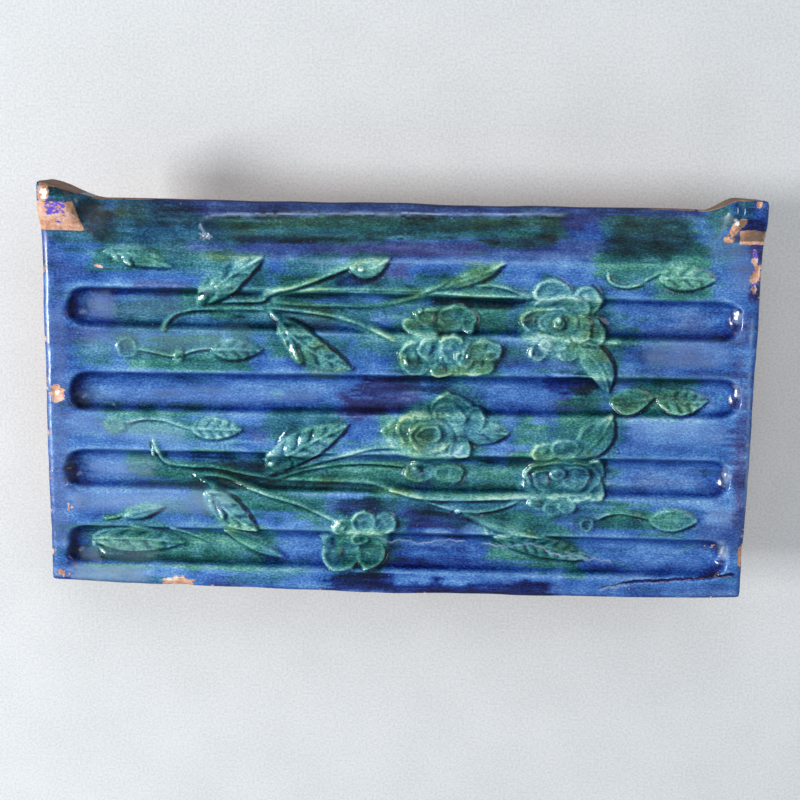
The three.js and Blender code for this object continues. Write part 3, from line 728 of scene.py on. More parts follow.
for mark in CHIPS:
    chip(*mark)
for mark in SPECKS:
    speckle(*mark)
height = face_at(GX, GY).astype(np.float32)
on_crest = smooth(RIDGE_LINE + 3, RIDGE_LINE + 6, GY) * (1 - smooth(LIP_LINE - 2.5, LIP_LINE - 1, GY))
height = height + (soften(height, 1.3) - height) * on_crest
on_field = (1 - on_crest) * smooth(RIDGE_LINE + 4, RIDGE_LINE + 1, GY)
height = height + (soften(height, 0.45) - height) * on_field
bridged = np.maximum(shifted(height, 0, 1.2), shifted(height, 0, -1.2))
height = height + cover * np.maximum(0, bridged - height) * 0.7
height = height + relief
height = height + 0.16 * MOTTLE + 0.07 * STREAK + 0.03 * BRUSH
rim_distance = np.minimum(np.minimum(GX + HALF_LENGTH, HALF_LENGTH - GX),
                          np.minimum(GY - lower_edge_at(sheet_x), crest_edge_at(sheet_x) - GY))
height = height - 0.9 * (1 - smooth(0.6, 3.2, rim_distance)) ** 1.5
height = soften(height, 0.33) - soften(chipped, 0.2)
for mark in FACETS:
    facet(*mark)

# Painting: soft-edged brush marks on the sheet, each from 0 to 1

PAINTS = ("green", "olive", "violet", "dark_and_shade", "pale_and_highlight", "thin")
paints = {name: np.zeros((ROWS, COLUMNS), np.float32) for name in PAINTS}


def stroke(paint, points, width, strength, soft, ragged):
    """A brush mark along a path, ragged along the brush's way."""
    line = curve_through([on_tile(point) for point in points], 2.5)
    rows, columns, distance, along, _ = track(line, width / 2 + soft + ragged * 2)
    length = np.hypot(*np.diff(line, axis=0).T).sum()
    hair = HAIR[rows, columns]
    edge = width / 2 - distance + ragged * (BRUSH[rows, columns] + 0.6 * MOTTLE[rows, columns] + 0.6 * hair)
    to_end = length * np.minimum(along, 1 - along)
    frayed = min(6.0, length / 4)
    ends = smooth(0, frayed * 0.7, to_end - frayed * (0.3 + 0.9 * hair))
    mark = np.clip(strength * smooth(-soft / 2, soft / 2, edge) * ends * (0.9 + 0.3 * hair), 0, 1)
    layer = paints[paint]
    layer[rows, columns] = np.maximum(layer[rows, columns], mark)


def paint_relief():
    """Green was brushed loosely over the relief and far beyond it, and the violet in patches."""
    near = soften(cover, 1.6)
    wide = soften(cover, 5.5)
    loose = 0.34 * BRUSH + 0.2 * MOTTLE + 0.16 * HAIR + 0.25 * PATCHES
    washed = smooth(0.12, 0.5, near + 0.5 * loose) * (0.8 + 0.34 * CLOUDS)
    spread = smooth(0.14, 0.4, wide + 0.7 * loose) * (0.62 + 0.35 * MOTTLE + 0.2 * HAIR)
    paints["green"] = np.maximum(paints["green"], np.clip(np.maximum(washed, spread), 0, 1))
    fresh = smooth(0.1, 0.6, CLOUDS + 0.6 * MOTTLE) * smooth(0.3, 0.8, near)
    paints["olive"] = np.maximum(paints["olive"], 0.6 * fresh)
    bruised = smooth(0.25, 0.6, PATCHES - 0.35 * CLOUDS + 0.3 * BRUSH)
    paints["violet"] = np.maximum(paints["violet"], 0.36 * bruised)
    sides = np.maximum(smooth(4, 0.5, GX + HALF_LENGTH), smooth(3, 0.5, HALF_LENGTH - GX))
    worn = smooth(0.45, 0.75, MOTTLE + 0.4 * GRAIN) * sides
    paints["pale_and_highlight"] = np.maximum(paints["pale_and_highlight"], 0.5 * worn)


# Brush marks: width, strength, softness and raggedness, then the places that the brush passed
STROKES = {
    "violet": [
        (7.5, 0.55, 2, 1.2, (150, 247), (400, 249), (690, 252)),
        (8.5, 1.3, 2, 2.8, (38, 208), (50, 207), (62, 209), (76, 208)),
        (2.4, 1, 1.6, 1.6, (42, 216), (50, 222), (64, 222), (80, 224)),
        (4.4, 1.3, 2, 2, (756, 240), (757, 256), (755, 270)),
        (5.5, 1.4, 2, 2, (754, 281), (755, 289), (754, 303)),
        (4, 0.95, 2, 1.2, (162, 226), (180, 221), (200, 217)),
        (5.4, 0.95, 1.4, 0.5, (302, 249), (350, 249), (420, 249), (496, 249)),
        (12, 0.35, 5, 1.2, (600, 236), (650, 238), (700, 236)), (5, 0.6, 3, 1.2, (682, 246), (700, 258)),
        (8, 0.8, 3, 1.2, (275, 322), (310, 322), (345, 326)), (11, 0.6, 4, 1.2, (80, 300), (125, 306)),
        (7, 0.42, 5, 1.2, (56, 260), (60, 400), (60, 560)),
        (6, 0.4, 4, 1.2, (330, 590), (420, 592), (540, 594)),
        (4.5, 0.9, 2, 1.2, (741, 420), (740, 470), (737, 540)),
        (9, 0.9, 3, 1.2, (358, 399), (390, 400), (427, 398)),
        (8.5, 0.9, 2, 1.2, (548, 408), (575, 407), (600, 407)), (8, 0.5, 4, 1.2, (254, 424), (262, 445)),
        (6, 0.7, 4, 1.2, (322, 510), (360, 506), (408, 508)), (4, 0.6, 3, 1.2, (160, 558), (200, 560)),
    ],
    # Some of these marks are painted shade, along the crest and the trough's edges, on the left ear's slope
    # and on the flutes' upper walls; the rest are darker glaze
    "dark_and_shade": [
        (16, 0.12, 6, 1.2, (90, 214), (300, 212), (700, 214)),
        (7, 0.4, 4, 1.2, (725, 205), (745, 203), (765, 206)),
        (12, 0.3, 6, 1.2, (85, 200), (100, 222), (118, 240)),
        (1.6, 0.6, 1.2, 1.2, (225, 239), (350, 239), (500, 239), (575, 238)),
        (9.5, 1, 2, 1.2, (722, 232), (748, 232), (780, 231)),
        (4, 0.7, 2, 1, (754, 281), (755, 289), (754, 303)),
        (7, 0.4, 3, 1.2, (110, 206), (250, 206), (400, 206), (710, 210)),
        (7.5, 0.6, 2.5, 1.2, (590, 250), (640, 251), (680, 252)),
        (1.6, 0.8, 1, 1.2, (205, 215), (300, 214.5), (400, 214), (500, 214.5), (572, 215)),
        (5, 0.8, 2, 1.2, (420, 304), (470, 303), (530, 304)),
        (3.5, 0.6, 2, 1.2, (80, 291), (140, 290), (200, 291)),
        (4, 0.5, 3, 1.2, (160, 457), (200, 456), (240, 458)), (5, 0.6, 3, 1.2, (470, 462), (540, 461)),
    ],
    "green": [
        (8, 0.7, 4, 1.2, (730, 208), (745, 208), (760, 210)),
        (20, 0.75, 5, 1.2, (95, 215), (150, 225), (200, 232)),
        (9, 0.95, 3, 1.2, (205, 229), (300, 229), (400, 229), (500, 229), (572, 228)),
        (14, 0.5, 6, 1.2, (690, 238), (715, 245), (745, 262)),
        (12, 0.8, 3, 1.2, (590, 232), (640, 232), (700, 232)),
        (9, 0.75, 4, 1.2, (80, 262), (120, 260), (170, 262), (230, 268)),
        (8, 0.5, 5, 1.2, (115, 330), (180, 325), (260, 330)),
        (12, 0.75, 4, 1.2, (275, 275), (320, 268), (350, 262)), (2, 0.5, 2, 1.2, (610, 340), (690, 339)),
        (10, 0.5, 5, 1.2, (120, 305), (170, 305), (210, 312)),
        (10, 1, 3, 1.2, (578, 350), (592, 366), (608, 388)),
        (22, 1, 4, 1.2, (540, 300), (562, 322), (584, 326)), (8, 0.4, 5, 1.2, (160, 435), (250, 440)),
    ],
    "olive": [
        (6, 0.7, 3, 1.2, (205, 221), (300, 220), (400, 221), (500, 222), (565, 221)),
        (8, 0.7, 2, 1.2, (535, 228), (555, 228), (573, 227)),
        (4, 0.6, 2, 1.2, (225, 232), (245, 232), (262, 232)),
        (7, 0.22, 3, 1.2, (110, 206), (250, 206), (400, 206), (710, 210)),
        (10, 0.55, 5, 1.2, (600, 226), (650, 228), (700, 226)),
        (4, 0.8, 2, 1.2, (195, 256), (230, 256), (265, 257)), (3, 0.8, 1.5, 1.2, (455, 264), (507, 264)),
        (9, 0.5, 5, 1.2, (90, 545), (130, 548), (170, 550)),
        (8, 0.55, 4, 1.2, (560, 347), (584, 352), (602, 362)),
        (6, 0.7, 3, 1.2, (470, 366), (488, 364), (499, 354)),
        (7, 0.4, 4, 1.2, (420, 446), (445, 444), (470, 438)),
    ],
    # Pale marks are partly milky glaze and white chip edges, partly painted highlight and reflection: near
    # the flutes' ends, on the lower left ridges and at the upper leaf's glint
    "pale_and_highlight": [
        (10, 0.24, 6, 1.2, (700, 248), (735, 252), (748, 300)),
        (7, 0.14, 5, 1.2, (56, 300), (60, 420), (60, 560)),
        (0.8, 0.6, 1.2, 0.6, (752, 310), (749, 420), (746, 530)),
        (9, 0.5, 6, 1.2, (60, 500), (140, 500), (240, 502)),
        (8, 0.35, 6, 1.2, (55, 420), (140, 432), (190, 440)),
        (9, 0.4, 5, 2.6, (80, 302), (100, 303), (120, 303)), (8, 0.12, 4, 1.2, (120, 304), (190, 306)),
        (9, 0.22, 5, 1.2, (75, 345), (150, 342), (260, 340)),
        (5, 0.25, 4, 1.2, (70, 395), (150, 393), (330, 394)),
        (8, 0.4, 5, 1.2, (80, 466), (120, 467), (165, 466)),
        (6, 0.65, 4, 1.2, (60, 570), (110, 572), (160, 573)),
        (8, 0.25, 5, 1.2, (95, 546), (130, 550), (165, 552)),
        (8, 0.25, 6, 1.2, (620, 430), (680, 432), (740, 436)),
        (9, 0.35, 4, 1.2, (700, 515), (720, 515), (738, 518)),
        (5, 0.35, 3, 1.2, (84, 545), (90, 555), (104, 562)),
        (2.6, 0.6, 2.4, 1.2, (718, 538), (724, 552), (720, 568)),
        (1.7, 1.2, 1, 1.2, (160, 581), (168, 578), (180, 576.5), (190, 578)),
        (2.8, 1.2, 1, 1.2, (43, 184), (43, 203)), (2.4, 0.9, 1, 1.2, (55, 389), (57, 398)),
        (2, 0.9, 1, 1.2, (740, 219), (734, 229)), (9, 0.3, 5, 1.2, (640, 352), (690, 354), (735, 356)),
        (3, 0.35, 3, 1.2, (200, 296), (216, 281)), (0.9, 0.5, 0.8, 0.3, (300, 262), (400, 262), (560, 264)),
    ],
    "thin": [
        (26, 0.66, 6, 1.2, (524, 322), (560, 322), (600, 328)),
        (9, 0.45, 6, 1.2, (600, 316), (660, 318), (728, 320)),
        (11, 0.35, 6, 1.2, (620, 430), (680, 434), (740, 440)),
        (7, 0.5, 6, 1.2, (600, 474), (650, 478), (712, 478)),
        (9, 0.5, 5, 1.2, (700, 515), (720, 515), (740, 518)),
        (9, 0.5, 5, 1.2, (85, 540), (130, 542), (170, 546)),
        (9, 0.45, 6, 1.2, (120, 425), (190, 440), (250, 445)),
        (9, 0.3, 6, 1.2, (56, 430), (66, 500), (60, 570)),
        (14, 0.3, 5, 1.2, (330, 535), (360, 540), (390, 540)),
        (10, 0.3, 5, 1.2, (385, 345), (430, 350), (490, 352)),
    ],
}

# Wide, loose brush marks: width and strength, then the places
WASHES = {
    "violet": [
        (12, 0.5, (110, 207), (250, 208), (400, 208), (710, 212)),
        (5, 0.5, (120, 283), (160, 284), (200, 288)), (7, 0.6, (350, 272), (385, 272), (420, 272)),
        (5, 0.5, (60, 333), (80, 335), (105, 336)), (8, 0.7, (330, 400), (365, 404), (400, 402)),
        (7, 0.6, (350, 385), (400, 384), (430, 386)), (4, 0.5, (500, 455), (520, 452), (540, 454)),
        (8, 0.45, (395, 515), (430, 518), (470, 522)), (5, 0.5, (160, 556), (190, 558), (215, 560)),
        (5, 0.45, (740, 300), (742, 400), (738, 500)), (5, 0.45, (480, 345), (510, 358), (530, 350)),
    ],
    # Some of these washes are painted shade, on the left ear, on the crest and along the flutes' upper walls
    # and one left end; the rest are darker glaze
    "dark_and_shade": [
        (10, 0.5, (62, 190), (78, 200), (92, 215), (112, 238)), (7, 0.5, (30, 186), (50, 186), (85, 196)),
        (12, 0.32, (600, 240), (650, 240), (700, 242)),
        (7, 0.85, (320, 584), (400, 586), (480, 588), (560, 590)),
        (6, 0.4, (335, 402), (380, 404), (430, 402)), (9, 0.22, (380, 556), (430, 558), (480, 560)),
        (7, 0.45, (325, 283), (350, 281), (378, 284)), (8, 0.55, (352, 388), (405, 386), (460, 388)),
        (9, 0.5, (335, 508), (360, 508), (388, 510)), (9, 0.5, (395, 520), (430, 520), (475, 524)),
        (7, 0.4, (205, 302), (240, 302), (270, 305)), (8, 0.4, (270, 300), (320, 300), (360, 310)),
        (7, 0.4, (70, 386), (78, 400)), (6, 0.45, (180, 462), (230, 466), (290, 470)),
        (7, 0.7, (536, 383), (570, 383), (607, 384)),
    ],
    "green": [
        (15, 0.7, (60, 188), (76, 198), (96, 222), (130, 240)), (8, 0.8, (30, 186), (50, 186), (85, 196)),
        (8, 0.6, (42, 235), (60, 236), (95, 240)), (16, 0.7, (600, 235), (650, 238), (710, 236)),
        (10, 0.55, (160, 230), (200, 232), (260, 232)), (8, 0.7, (700, 225), (720, 222), (745, 206)),
        (9, 0.75, (300, 228), (420, 230), (575, 228)), (8, 0.75, (80, 260), (130, 258), (175, 262)),
        (8, 0.6, (165, 262), (220, 262), (275, 266)), (10, 0.55, (105, 312), (150, 314), (195, 310)),
        (9, 0.85, (170, 300), (220, 303), (270, 302)), (11, 0.85, (262, 290), (300, 292), (340, 286)),
        (13, 0.9, (430, 314), (475, 313), (520, 312)), (6, 0.6, (375, 283), (420, 286), (450, 288)),
        (9, 0.5, (68, 350), (95, 352), (125, 352)), (13, 0.75, (115, 352), (190, 352), (262, 352)),
        (12, 0.7, (262, 345), (285, 347), (310, 350)), (9, 0.55, (345, 338), (375, 345), (405, 350)),
        (10, 0.8, (385, 330), (430, 330), (470, 332)), (3, 0.7, (600, 345), (625, 341), (650, 339)),
        (9, 0.65, (100, 425), (150, 423), (200, 430)), (12, 0.6, (255, 432), (295, 428), (345, 422)),
        (12, 0.75, (370, 430), (400, 428), (425, 426)), (12, 0.75, (505, 430), (530, 435), (560, 440)),
        (14, 0.85, (545, 425), (580, 425), (625, 428)), (9, 0.7, (560, 400), (590, 400), (612, 402)),
        (13, 0.85, (610, 400), (660, 401), (708, 401)), (9, 0.85, (120, 458), (170, 470), (250, 478)),
        (12, 0.85, (240, 476), (330, 474), (420, 480)), (12, 0.85, (420, 478), (480, 480), (530, 482)),
        (10, 0.85, (500, 458), (530, 462), (560, 466)), (9, 0.8, (200, 492), (260, 500), (330, 512)),
        (8, 0.8, (225, 520), (250, 530), (280, 545)), (9, 0.75, (470, 512), (520, 522), (575, 540)),
        (12, 0.85, (478, 545), (530, 555), (590, 560)), (11, 0.8, (590, 520), (640, 520), (698, 521)),
        (15, 0.85, (85, 545), (180, 545), (275, 550)), (6, 0.5, (130, 512), (165, 508), (200, 506)),
        (17, 0.85, (325, 535), (360, 540), (398, 540)), (6, 0.45, (215, 568), (260, 570), (320, 572)),
        (5, 0.4, (70, 575), (120, 577), (180, 578)), (10, 1, (585, 262), (640, 264), (722, 260)),
        (14, 0.9, (645, 280), (690, 280), (722, 280)),
    ],
    "olive": [
        (7, 0.8, (112, 207), (130, 211), (152, 210)), (4, 0.4, (95, 218), (110, 228), (125, 236)),
        (3.4, 0.9, (300, 366), (325, 369), (352, 371)),
    ],
}
WASH = {"wider": 1.5, "stronger": 1.35, "strongest": 1.2, "soft": 1.9, "ragged": 3.4}


def paint_marks():
    for paint, marks in STROKES.items():
        for width, strength, soft, ragged, *places in marks:
            stroke(paint, places, width, strength, soft, ragged)
    for paint, marks in WASHES.items():
        for width, strength, *places in marks:
            strength = min(WASH["strongest"], strength * WASH["stronger"])
            stroke(paint, places, width + WASH["wider"], strength, WASH["soft"], WASH["ragged"])


def paint_flute_end_shade_and_highlight():
    """Painted shade in a crescent at each flute's left end, a painted highlight in one at its right end."""
    for x, y in ((68, 312), (74, 392), (69, 474), (72, 552)):
        stroke("dark_and_shade", [(x + 7, y - 20), (x, y), (x + 7, y + 20)], 3.4, 1.0, 3, 1)
    for x, y in ((738, 317), (738, 392), (727, 475), (724, 553)):
        stroke("pale_and_highlight", [(x - 4, y - 12), (x, y), (x - 3, y + 12)], 1.7, 0.75, 1.4, 0.9)


def paint_cracks():
    """Cracks in the glaze, one through the body near the lower edge, a star on the crest, a ringed pit, and a
    painted highlight along the trough's upper edge.
    """
    glaze_crack = [(376, 534), (390, 541), (402, 540), (418, 543), (435, 541), (450, 540), (466, 541)]
    far_crack = [(480, 543), (495, 545), (510, 546), (530, 543), (545, 548), (555, 554), (590, 559),
                 (614, 562)]
    body_crack = [(600, 588), (615, 586), (630, 582), (668, 580), (700, 577), (737, 574)]
    for line in (glaze_crack, far_crack):
        fine_line(line, 0.32, paints["pale_and_highlight"], 1.0)
        fine_line(line, 0.3, carved_lines, 0.25)
    fine_line(body_crack, 0.4, carved_lines, 0.9, 0.4)
    fine_line(body_crack, 0.5, dark_lines, 1.0, 0.4)
    fine_line([(628, 584.5), (668, 582), (700, 579.3), (735, 576)], 0.24, bare_lines, 0.62, 0.4)
    star_x, star_y = 205, 236
    for turn in range(9):
        angle = 2.4 * turn
        reach = 4 + 4 * ((turn * 0.618) % 1)
        start = (star_x + 1.5 * math.cos(angle), star_y + math.sin(angle))
        end = (star_x + reach * math.cos(angle), star_y + 0.7 * reach * math.sin(angle))
        fine_line([start, end], 0.34, paints["pale_and_highlight"], 1.0)
        fine_line([start, ((start[0] + end[0]) / 2, star_y)], 0.34, bare_lines, 0.7)
    fine_line([(199, 225), (201, 229), (204, 232)], 0.35, paints["pale_and_highlight"], 1.0)
    # A painted highlight along the trough's upper edge
    trough_highlight = [(199, 224), (203, 219), (212, 215.5), (240, 214), (300, 213.5), (420, 213.5), (570, 214)]
    fine_line(trough_highlight, 0.42, paints["pale_and_highlight"], 0.9, 0.3)
    fine_line([(597, 591), (612, 587), (630, 584)], 0.4, paints["pale_and_highlight"], 0.8)
    ringed_pit = [(612, 449), (618, 448), (620, 452), (616, 454), (612, 452), (612, 449)]
    fine_line(ringed_pit, 0.3, carved_lines, 0.5)


def fine_line(points, width, layer, strength, sway=1.0):
    """A thin line that wanders a little, on one of the sheet's layers."""
    line = curve_through([on_tile(point) for point in points], 0.6)
    x = line[:, 0]
    wander = sway * (0.3 * np.sin(x * 1.1) + 0.22 * np.sin(x * 2.9 + 1) + 0.25 * np.sin(x * 0.37))
    line = line + np.column_stack([wander * 0.5, wander])
    rows, columns, distance, along, _ = track(line, width * 3)
    mark = strength * bell(distance, width) * smooth(0, 0.04, along) * smooth(1, 0.96, along)
    layer[rows, columns] = np.maximum(layer[rows, columns], mark)


carved_lines = np.zeros((ROWS, COLUMNS), np.float32)
bare_lines = np.zeros((ROWS, COLUMNS), np.float32)
dark_lines = np.zeros((ROWS, COLUMNS), np.float32)


paint_relief()
paint_marks()
paint_flute_end_shade_and_highlight()
paint_cracks()
height = height - carved_lines
rim_wear = smooth(0.66, 0.8, GRAIN + 0.9 * MOTTLE) * smooth(1.9, 0.7, rim_distance) * (GY < RIDGE_LINE)
bare = np.maximum(bare, np.maximum(bare_lines, 0.8 * rim_wear))


def glaze_depth_and_painted_light():
    """How deep the glaze lies, with painted light added: it thins on every crest and pools in every crease.
    """
    crease = soften(height, 0.8) - height
    dip = soften(height, 3.0) - height
    # Painted shadow beside each relief form on the side away from the light, and a painted highlight on its
    # lit edges
    painted_shadow_low = np.maximum(0, shifted(relief, -1.3, 0.8) - relief)
    painted_shadow_high = np.maximum(0, shifted(relief, -1.3, -0.4) - relief)
    lee = soften(np.minimum(1.4, painted_shadow_low + 0.7 * painted_shadow_high), 0.35)
    painted_highlight = soften(np.maximum(0, relief - shifted(relief, -1.2, 0.5)), 0.3)
    wall_glaze_and_shade = np.zeros_like(height)
    floor_reflection = np.zeros_like(height)
    for row in range(len(FLUTES)):
        share = flute(row, GX, GY)[1]
        wall_glaze_and_shade = np.maximum(wall_glaze_and_shade, bell(share - 0.86, 0.13))
        floor_reflection = np.maximum(floor_reflection, 1 - smooth(0.35, 0.75, share))
    form = soften(cover, 0.5)
    calm = 1 - 0.75 * smooth(RIDGE_LINE, RIDGE_LINE + 4, GY)
    # The flutes' walls are darker, partly as pooled glaze and partly as painted shade; the crest gets painted
    # shade, the flutes' floors a painted reflection
    thickness_and_light = 0.5 + calm * (0.34 * crease + 0.09 * dip) + 0.33 * lee - 0.1 * np.minimum(painted_highlight, 1.2)
    thickness_and_light = thickness_and_light + 0.2 * wall_glaze_and_shade * (1 - form) - 0.13 * floor_reflection * (1 - form) + 0.05 * on_crest - 0.09 * form
    brushed = (0.05 + 0.05 * on_crest) * HAIR
    return thickness_and_light + 0.12 * STREAK + 0.1 * BRUSH + 0.14 * MOTTLE + brushed + 0.07 * PATCHES


# The glaze-depth value carries painted shade and highlights as well as the glaze's own depth
pool = glaze_depth_and_painted_light()
# Darker marks deepen the glaze, partly as darker glaze and partly as painted shade, sparing the relief
darker_glaze_and_shade = 0.45 * paints["dark_and_shade"] * (1 - 0.95 * soften(cover, 0.4))
pool = pool + 0.8 * dark_lines + darker_glaze_and_shade - 0.3 * paints["thin"]
pool = np.clip(pool, 0, 1).astype(np.float32)

# The ears' front slopes are bare clay
left_ear, right_ear = ear_sides(GX, GY)
on_ears = np.maximum(smooth(0.2, 0.9, left_ear + 0.3 * GRAIN), smooth(0.8, 1.6, right_ear + 0.6 * GRAIN))
slope_bare = on_ears * smooth(EAR_FOOT - 1.4, EAR_FOOT - 0.9, GY + 0.15 * GRAIN)
slope_top = EAR_FOOT + EAR_SLOPE + np.where(GX < 0, 2.2, -4.2)
slope_bare = slope_bare * smooth(0.4, -0.4, GY + 0.5 * GRAIN + 0.4 * HAIR - slope_top)
bare = np.maximum(bare, slope_bare).astype(np.float32)

# The face's triangles: large where the sheet is smooth, small along every edge

SQUARE = ROWS - 1
DEEPEST = 2 * int(math.log2(SQUARE))
COARSEST = 14            # every triangle is split at least this often, to about 1.2 mm
FACE_TRIANGLES = 150_000


def split(a, b, c):
    """Each triangle with its long side ab becomes two, split at the middle of that side."""
    middle = (a + b) // 2
    return np.concatenate([c, b]), np.concatenate([a, c]), np.concatenate([middle, middle])


def root_triangles():
    corners = []
    for left in (0, SQUARE):
        right = left + SQUARE
        corners.append([(left, 0), (right, SQUARE), (right, 0)])
        corners.append([(right, SQUARE), (left, 0), (left, SQUARE)])
    corners = np.array(corners)
    return corners[:, 0], corners[:, 1], corners[:, 2]


def split_worth():
    """How much each grid point matters as a corner, so that a point's parents matter as much."""
    masks = 0.5 * paints["green"] + 0.5 * paints["violet"] + bare * 1.5 + 0.7 * pool + 0.8 * paints["pale_and_highlight"]
    fields = ((height, 1.0), (masks, 0.22))
    levels = [root_triangles()]
    for _ in range(DEEPEST - 1):
        levels.append(split(*levels[-1]))
    worth = np.zeros((ROWS, COLUMNS), np.float32)
    for level in range(DEEPEST - 1, -1, -1):
        a, b, c = levels[level]
        middle = (a + b) // 2
        here = (middle[:, 1], middle[:, 0])
        miss = 0
        for field, weight in fields:
            ends = (field[a[:, 1], a[:, 0]] + field[b[:, 1], b[:, 0]]) / 2
            miss = miss + weight * np.abs(field[here] - ends)
        if level + 1 < DEEPEST:
            for end in (a, b):
                child = (end + c) // 2
                miss = np.maximum(miss, worth[child[:, 1], child[:, 0]])
        np.maximum.at(worth, here, miss)
    return worth


def cut_face(worth, threshold):
    a, b, c = root_triangles()
    done = []
    for level in range(DEEPEST):
        middle = (a + b) // 2
        wanted = worth[middle[:, 1], middle[:, 0]] > threshold
        if level < COARSEST:
            wanted[:] = True
        done.append((a[~wanted], b[~wanted], c[~wanted]))
        a, b, c = split(a[wanted], b[wanted], c[wanted])
    done.append((a, b, c))
    return [np.concatenate(corner) for corner in zip(*done)]


def face_triangles():
    worth = split_worth()
    low, high = 0.0, 1.0
    for _ in range(18):
        middle = (low + high) / 2
        count = len(cut_face(worth, middle)[0])
        low, high = (middle, high) if count > FACE_TRIANGLES else (low, middle)
    a, b, c = cut_face(worth, high)
    codes = [corner[:, 1] * COLUMNS + corner[:, 0] for corner in (a, b, c)]
    used, numbers = np.unique(np.concatenate(codes), return_inverse=True)
    count = len(codes[0])
    triangles = np.stack([numbers[:count], numbers[count:2 * count], numbers[2 * count:]], axis=1)
    return used, triangles


used, triangles = face_triangles()
face_row, face_column = np.divmod(used, COLUMNS)
face_points = np.stack([field[face_row, face_column] for field in (GX, GY, height)], axis=1)


def outward(points, faces):
    """The triangles, each turned so that it faces up."""
    first, second, third = (points[faces[:, corner]] for corner in range(3))
    cross = (second[:, 0] - first[:, 0]) * (third[:, 1] - first[:, 1])
    cross = cross - (second[:, 1] - first[:, 1]) * (third[:, 0] - first[:, 0])
    faces = faces.copy()
    faces[cross < 0] = faces[cross < 0][:, [0, 2, 1]]
    return faces


triangles = outward(face_points, triangles)


def border_loop():
    """The used grid points round the sheet, anticlockwise from its lower left corner."""
    sides = []
    for on_side, way in ((face_row == 0, face_column), (face_column == COLUMNS - 1, face_row),
                         (face_row == ROWS - 1, -face_column), (face_column == 0, -face_row)):
        numbers = np.nonzero(on_side)[0]
        sides.append(numbers[np.argsort(way[numbers])][:-1])
    return np.concatenate(sides)


class Shell:
    """The growing mesh: points, triangles, and the values that each point carries."""

    def __init__(self):
        self.points = []
        self.values = {name: [] for name in ATTRIBUTES}
        self.faces = []
        self.count = 0

    def add(self, points, **values):
        numbers = np.arange(self.count, self.count + len(points))
        self.points.append(np.asarray(points, float))
        for name in ATTRIBUTES:
            given = values.get(name, 0.0)
            self.values[name].append(np.broadcast_to(np.asarray(given, float), (len(points),)))
        self.count += len(points)
        return numbers

    def band(self, outer, inner):
        """Joins two rings with the same number of points."""
        outer_next = np.roll(outer, -1)
        inner_next = np.roll(inner, -1)
        self.faces.append(np.stack([outer, inner, outer_next], axis=1))
        self.faces.append(np.stack([outer_next, inner, inner_next], axis=1))

    def zip_rings(self, first, first_shares, second, second_shares):
        """Joins two rings with different numbers of points, by their shares of the way round."""
        faces = []
        i = 0
        j = 0
        while i < len(first) or j < len(second):
            next_first = first_shares[i + 1] if i + 1 < len(first) else 1.0
            next_second = second_shares[j + 1] if j + 1 < len(second) else 1.0
            a = first[i % len(first)]
            b = second[j % len(second)]
            if j >= len(second) or (i < len(first) and next_first <= next_second):
                faces.append((a, b, first[(i + 1) % len(first)]))
                i += 1
            else:
                faces.append((a, b, second[(j + 1) % len(second)]))
                j += 1
        self.faces.append(np.array(faces))


ATTRIBUTES = ("pool", "green", "olive", "violet", "pale_and_highlight", "bare", "matte")

shell = Shell()
face_values = {name: paints[name][face_row, face_column] for name in ("green", "olive", "violet", "pale_and_highlight")}
face_values["pool"] = pool[face_row, face_column]
face_values["bare"] = bare[face_row, face_column]
face_values["matte"] = np.maximum(on_crest, smooth(2.6, 1.2, rim_distance))[face_row, face_column]
shell.add(face_points, **face_values)
shell.faces.append(triangles)
loop = border_loop()


# The sides of the plate: a rounded rim, then a wall with a ragged hem of glaze

def ring_noise(points, size, seed):
    """Noise along a closed ring, from its points' places."""
    return cloud(points[:, 0] - points[:, 1] * 0.37, points[:, 1] + points[:, 0] * 0.21, size, size, seed)


loop_points = face_points[loop]
outline_x = np.sign(loop_points[:, 0]) * (np.abs(loop_points[:, 0]) > HALF_LENGTH - RIM_INSET - 0.01)
on_low = np.abs(loop_points[:, 1] - (lower_edge_at(loop_points[:, 0]) + RIM_INSET)) < 0.02
on_high = np.abs(loop_points[:, 1] - (crest_edge_at(loop_points[:, 0]) - RIM_INSET)) < 0.02
outline_y = on_high.astype(float) - on_low.astype(float)
out_length = np.maximum(1, np.hypot(outline_x, outline_y))
outwards = np.stack([outline_x, outline_y], axis=1) / out_length[:, None]
corner_cut = np.where(out_length > 1.01, 0.55, 1.0)

RIM_FOOT = 2.2
WALL_WAVE = 0.18
WALL_TUCK = 0.2
EAR_WALL = (98, 110)     # the crest's wall turns to bare clay between these places from the middle, drawn darker there as grime and painted shade
HEM = {"height": 46.5, "wave": 2.5, "ripple": 1.0, "lower_at_crest": 14}
HEM_SOFTNESS = 5         # the glaze's hem is read between rows, so its share changes slowly

# Each row of the wall: share of the rim inset, then either its drop below the rim's edge or its share
# of the way up from the back to the rim's foot
WALL_ROWS = [(0.55, 0.35, None), (0.9, 1.1, None), (1.0, RIM_FOOT, None), (1.0, None, 0.72),
             (0.97, None, 0.57), (0.95, None, 0.42), (0.93, None, 0.3), (0.92, None, 0.18), (0.8, None, 0.05)]

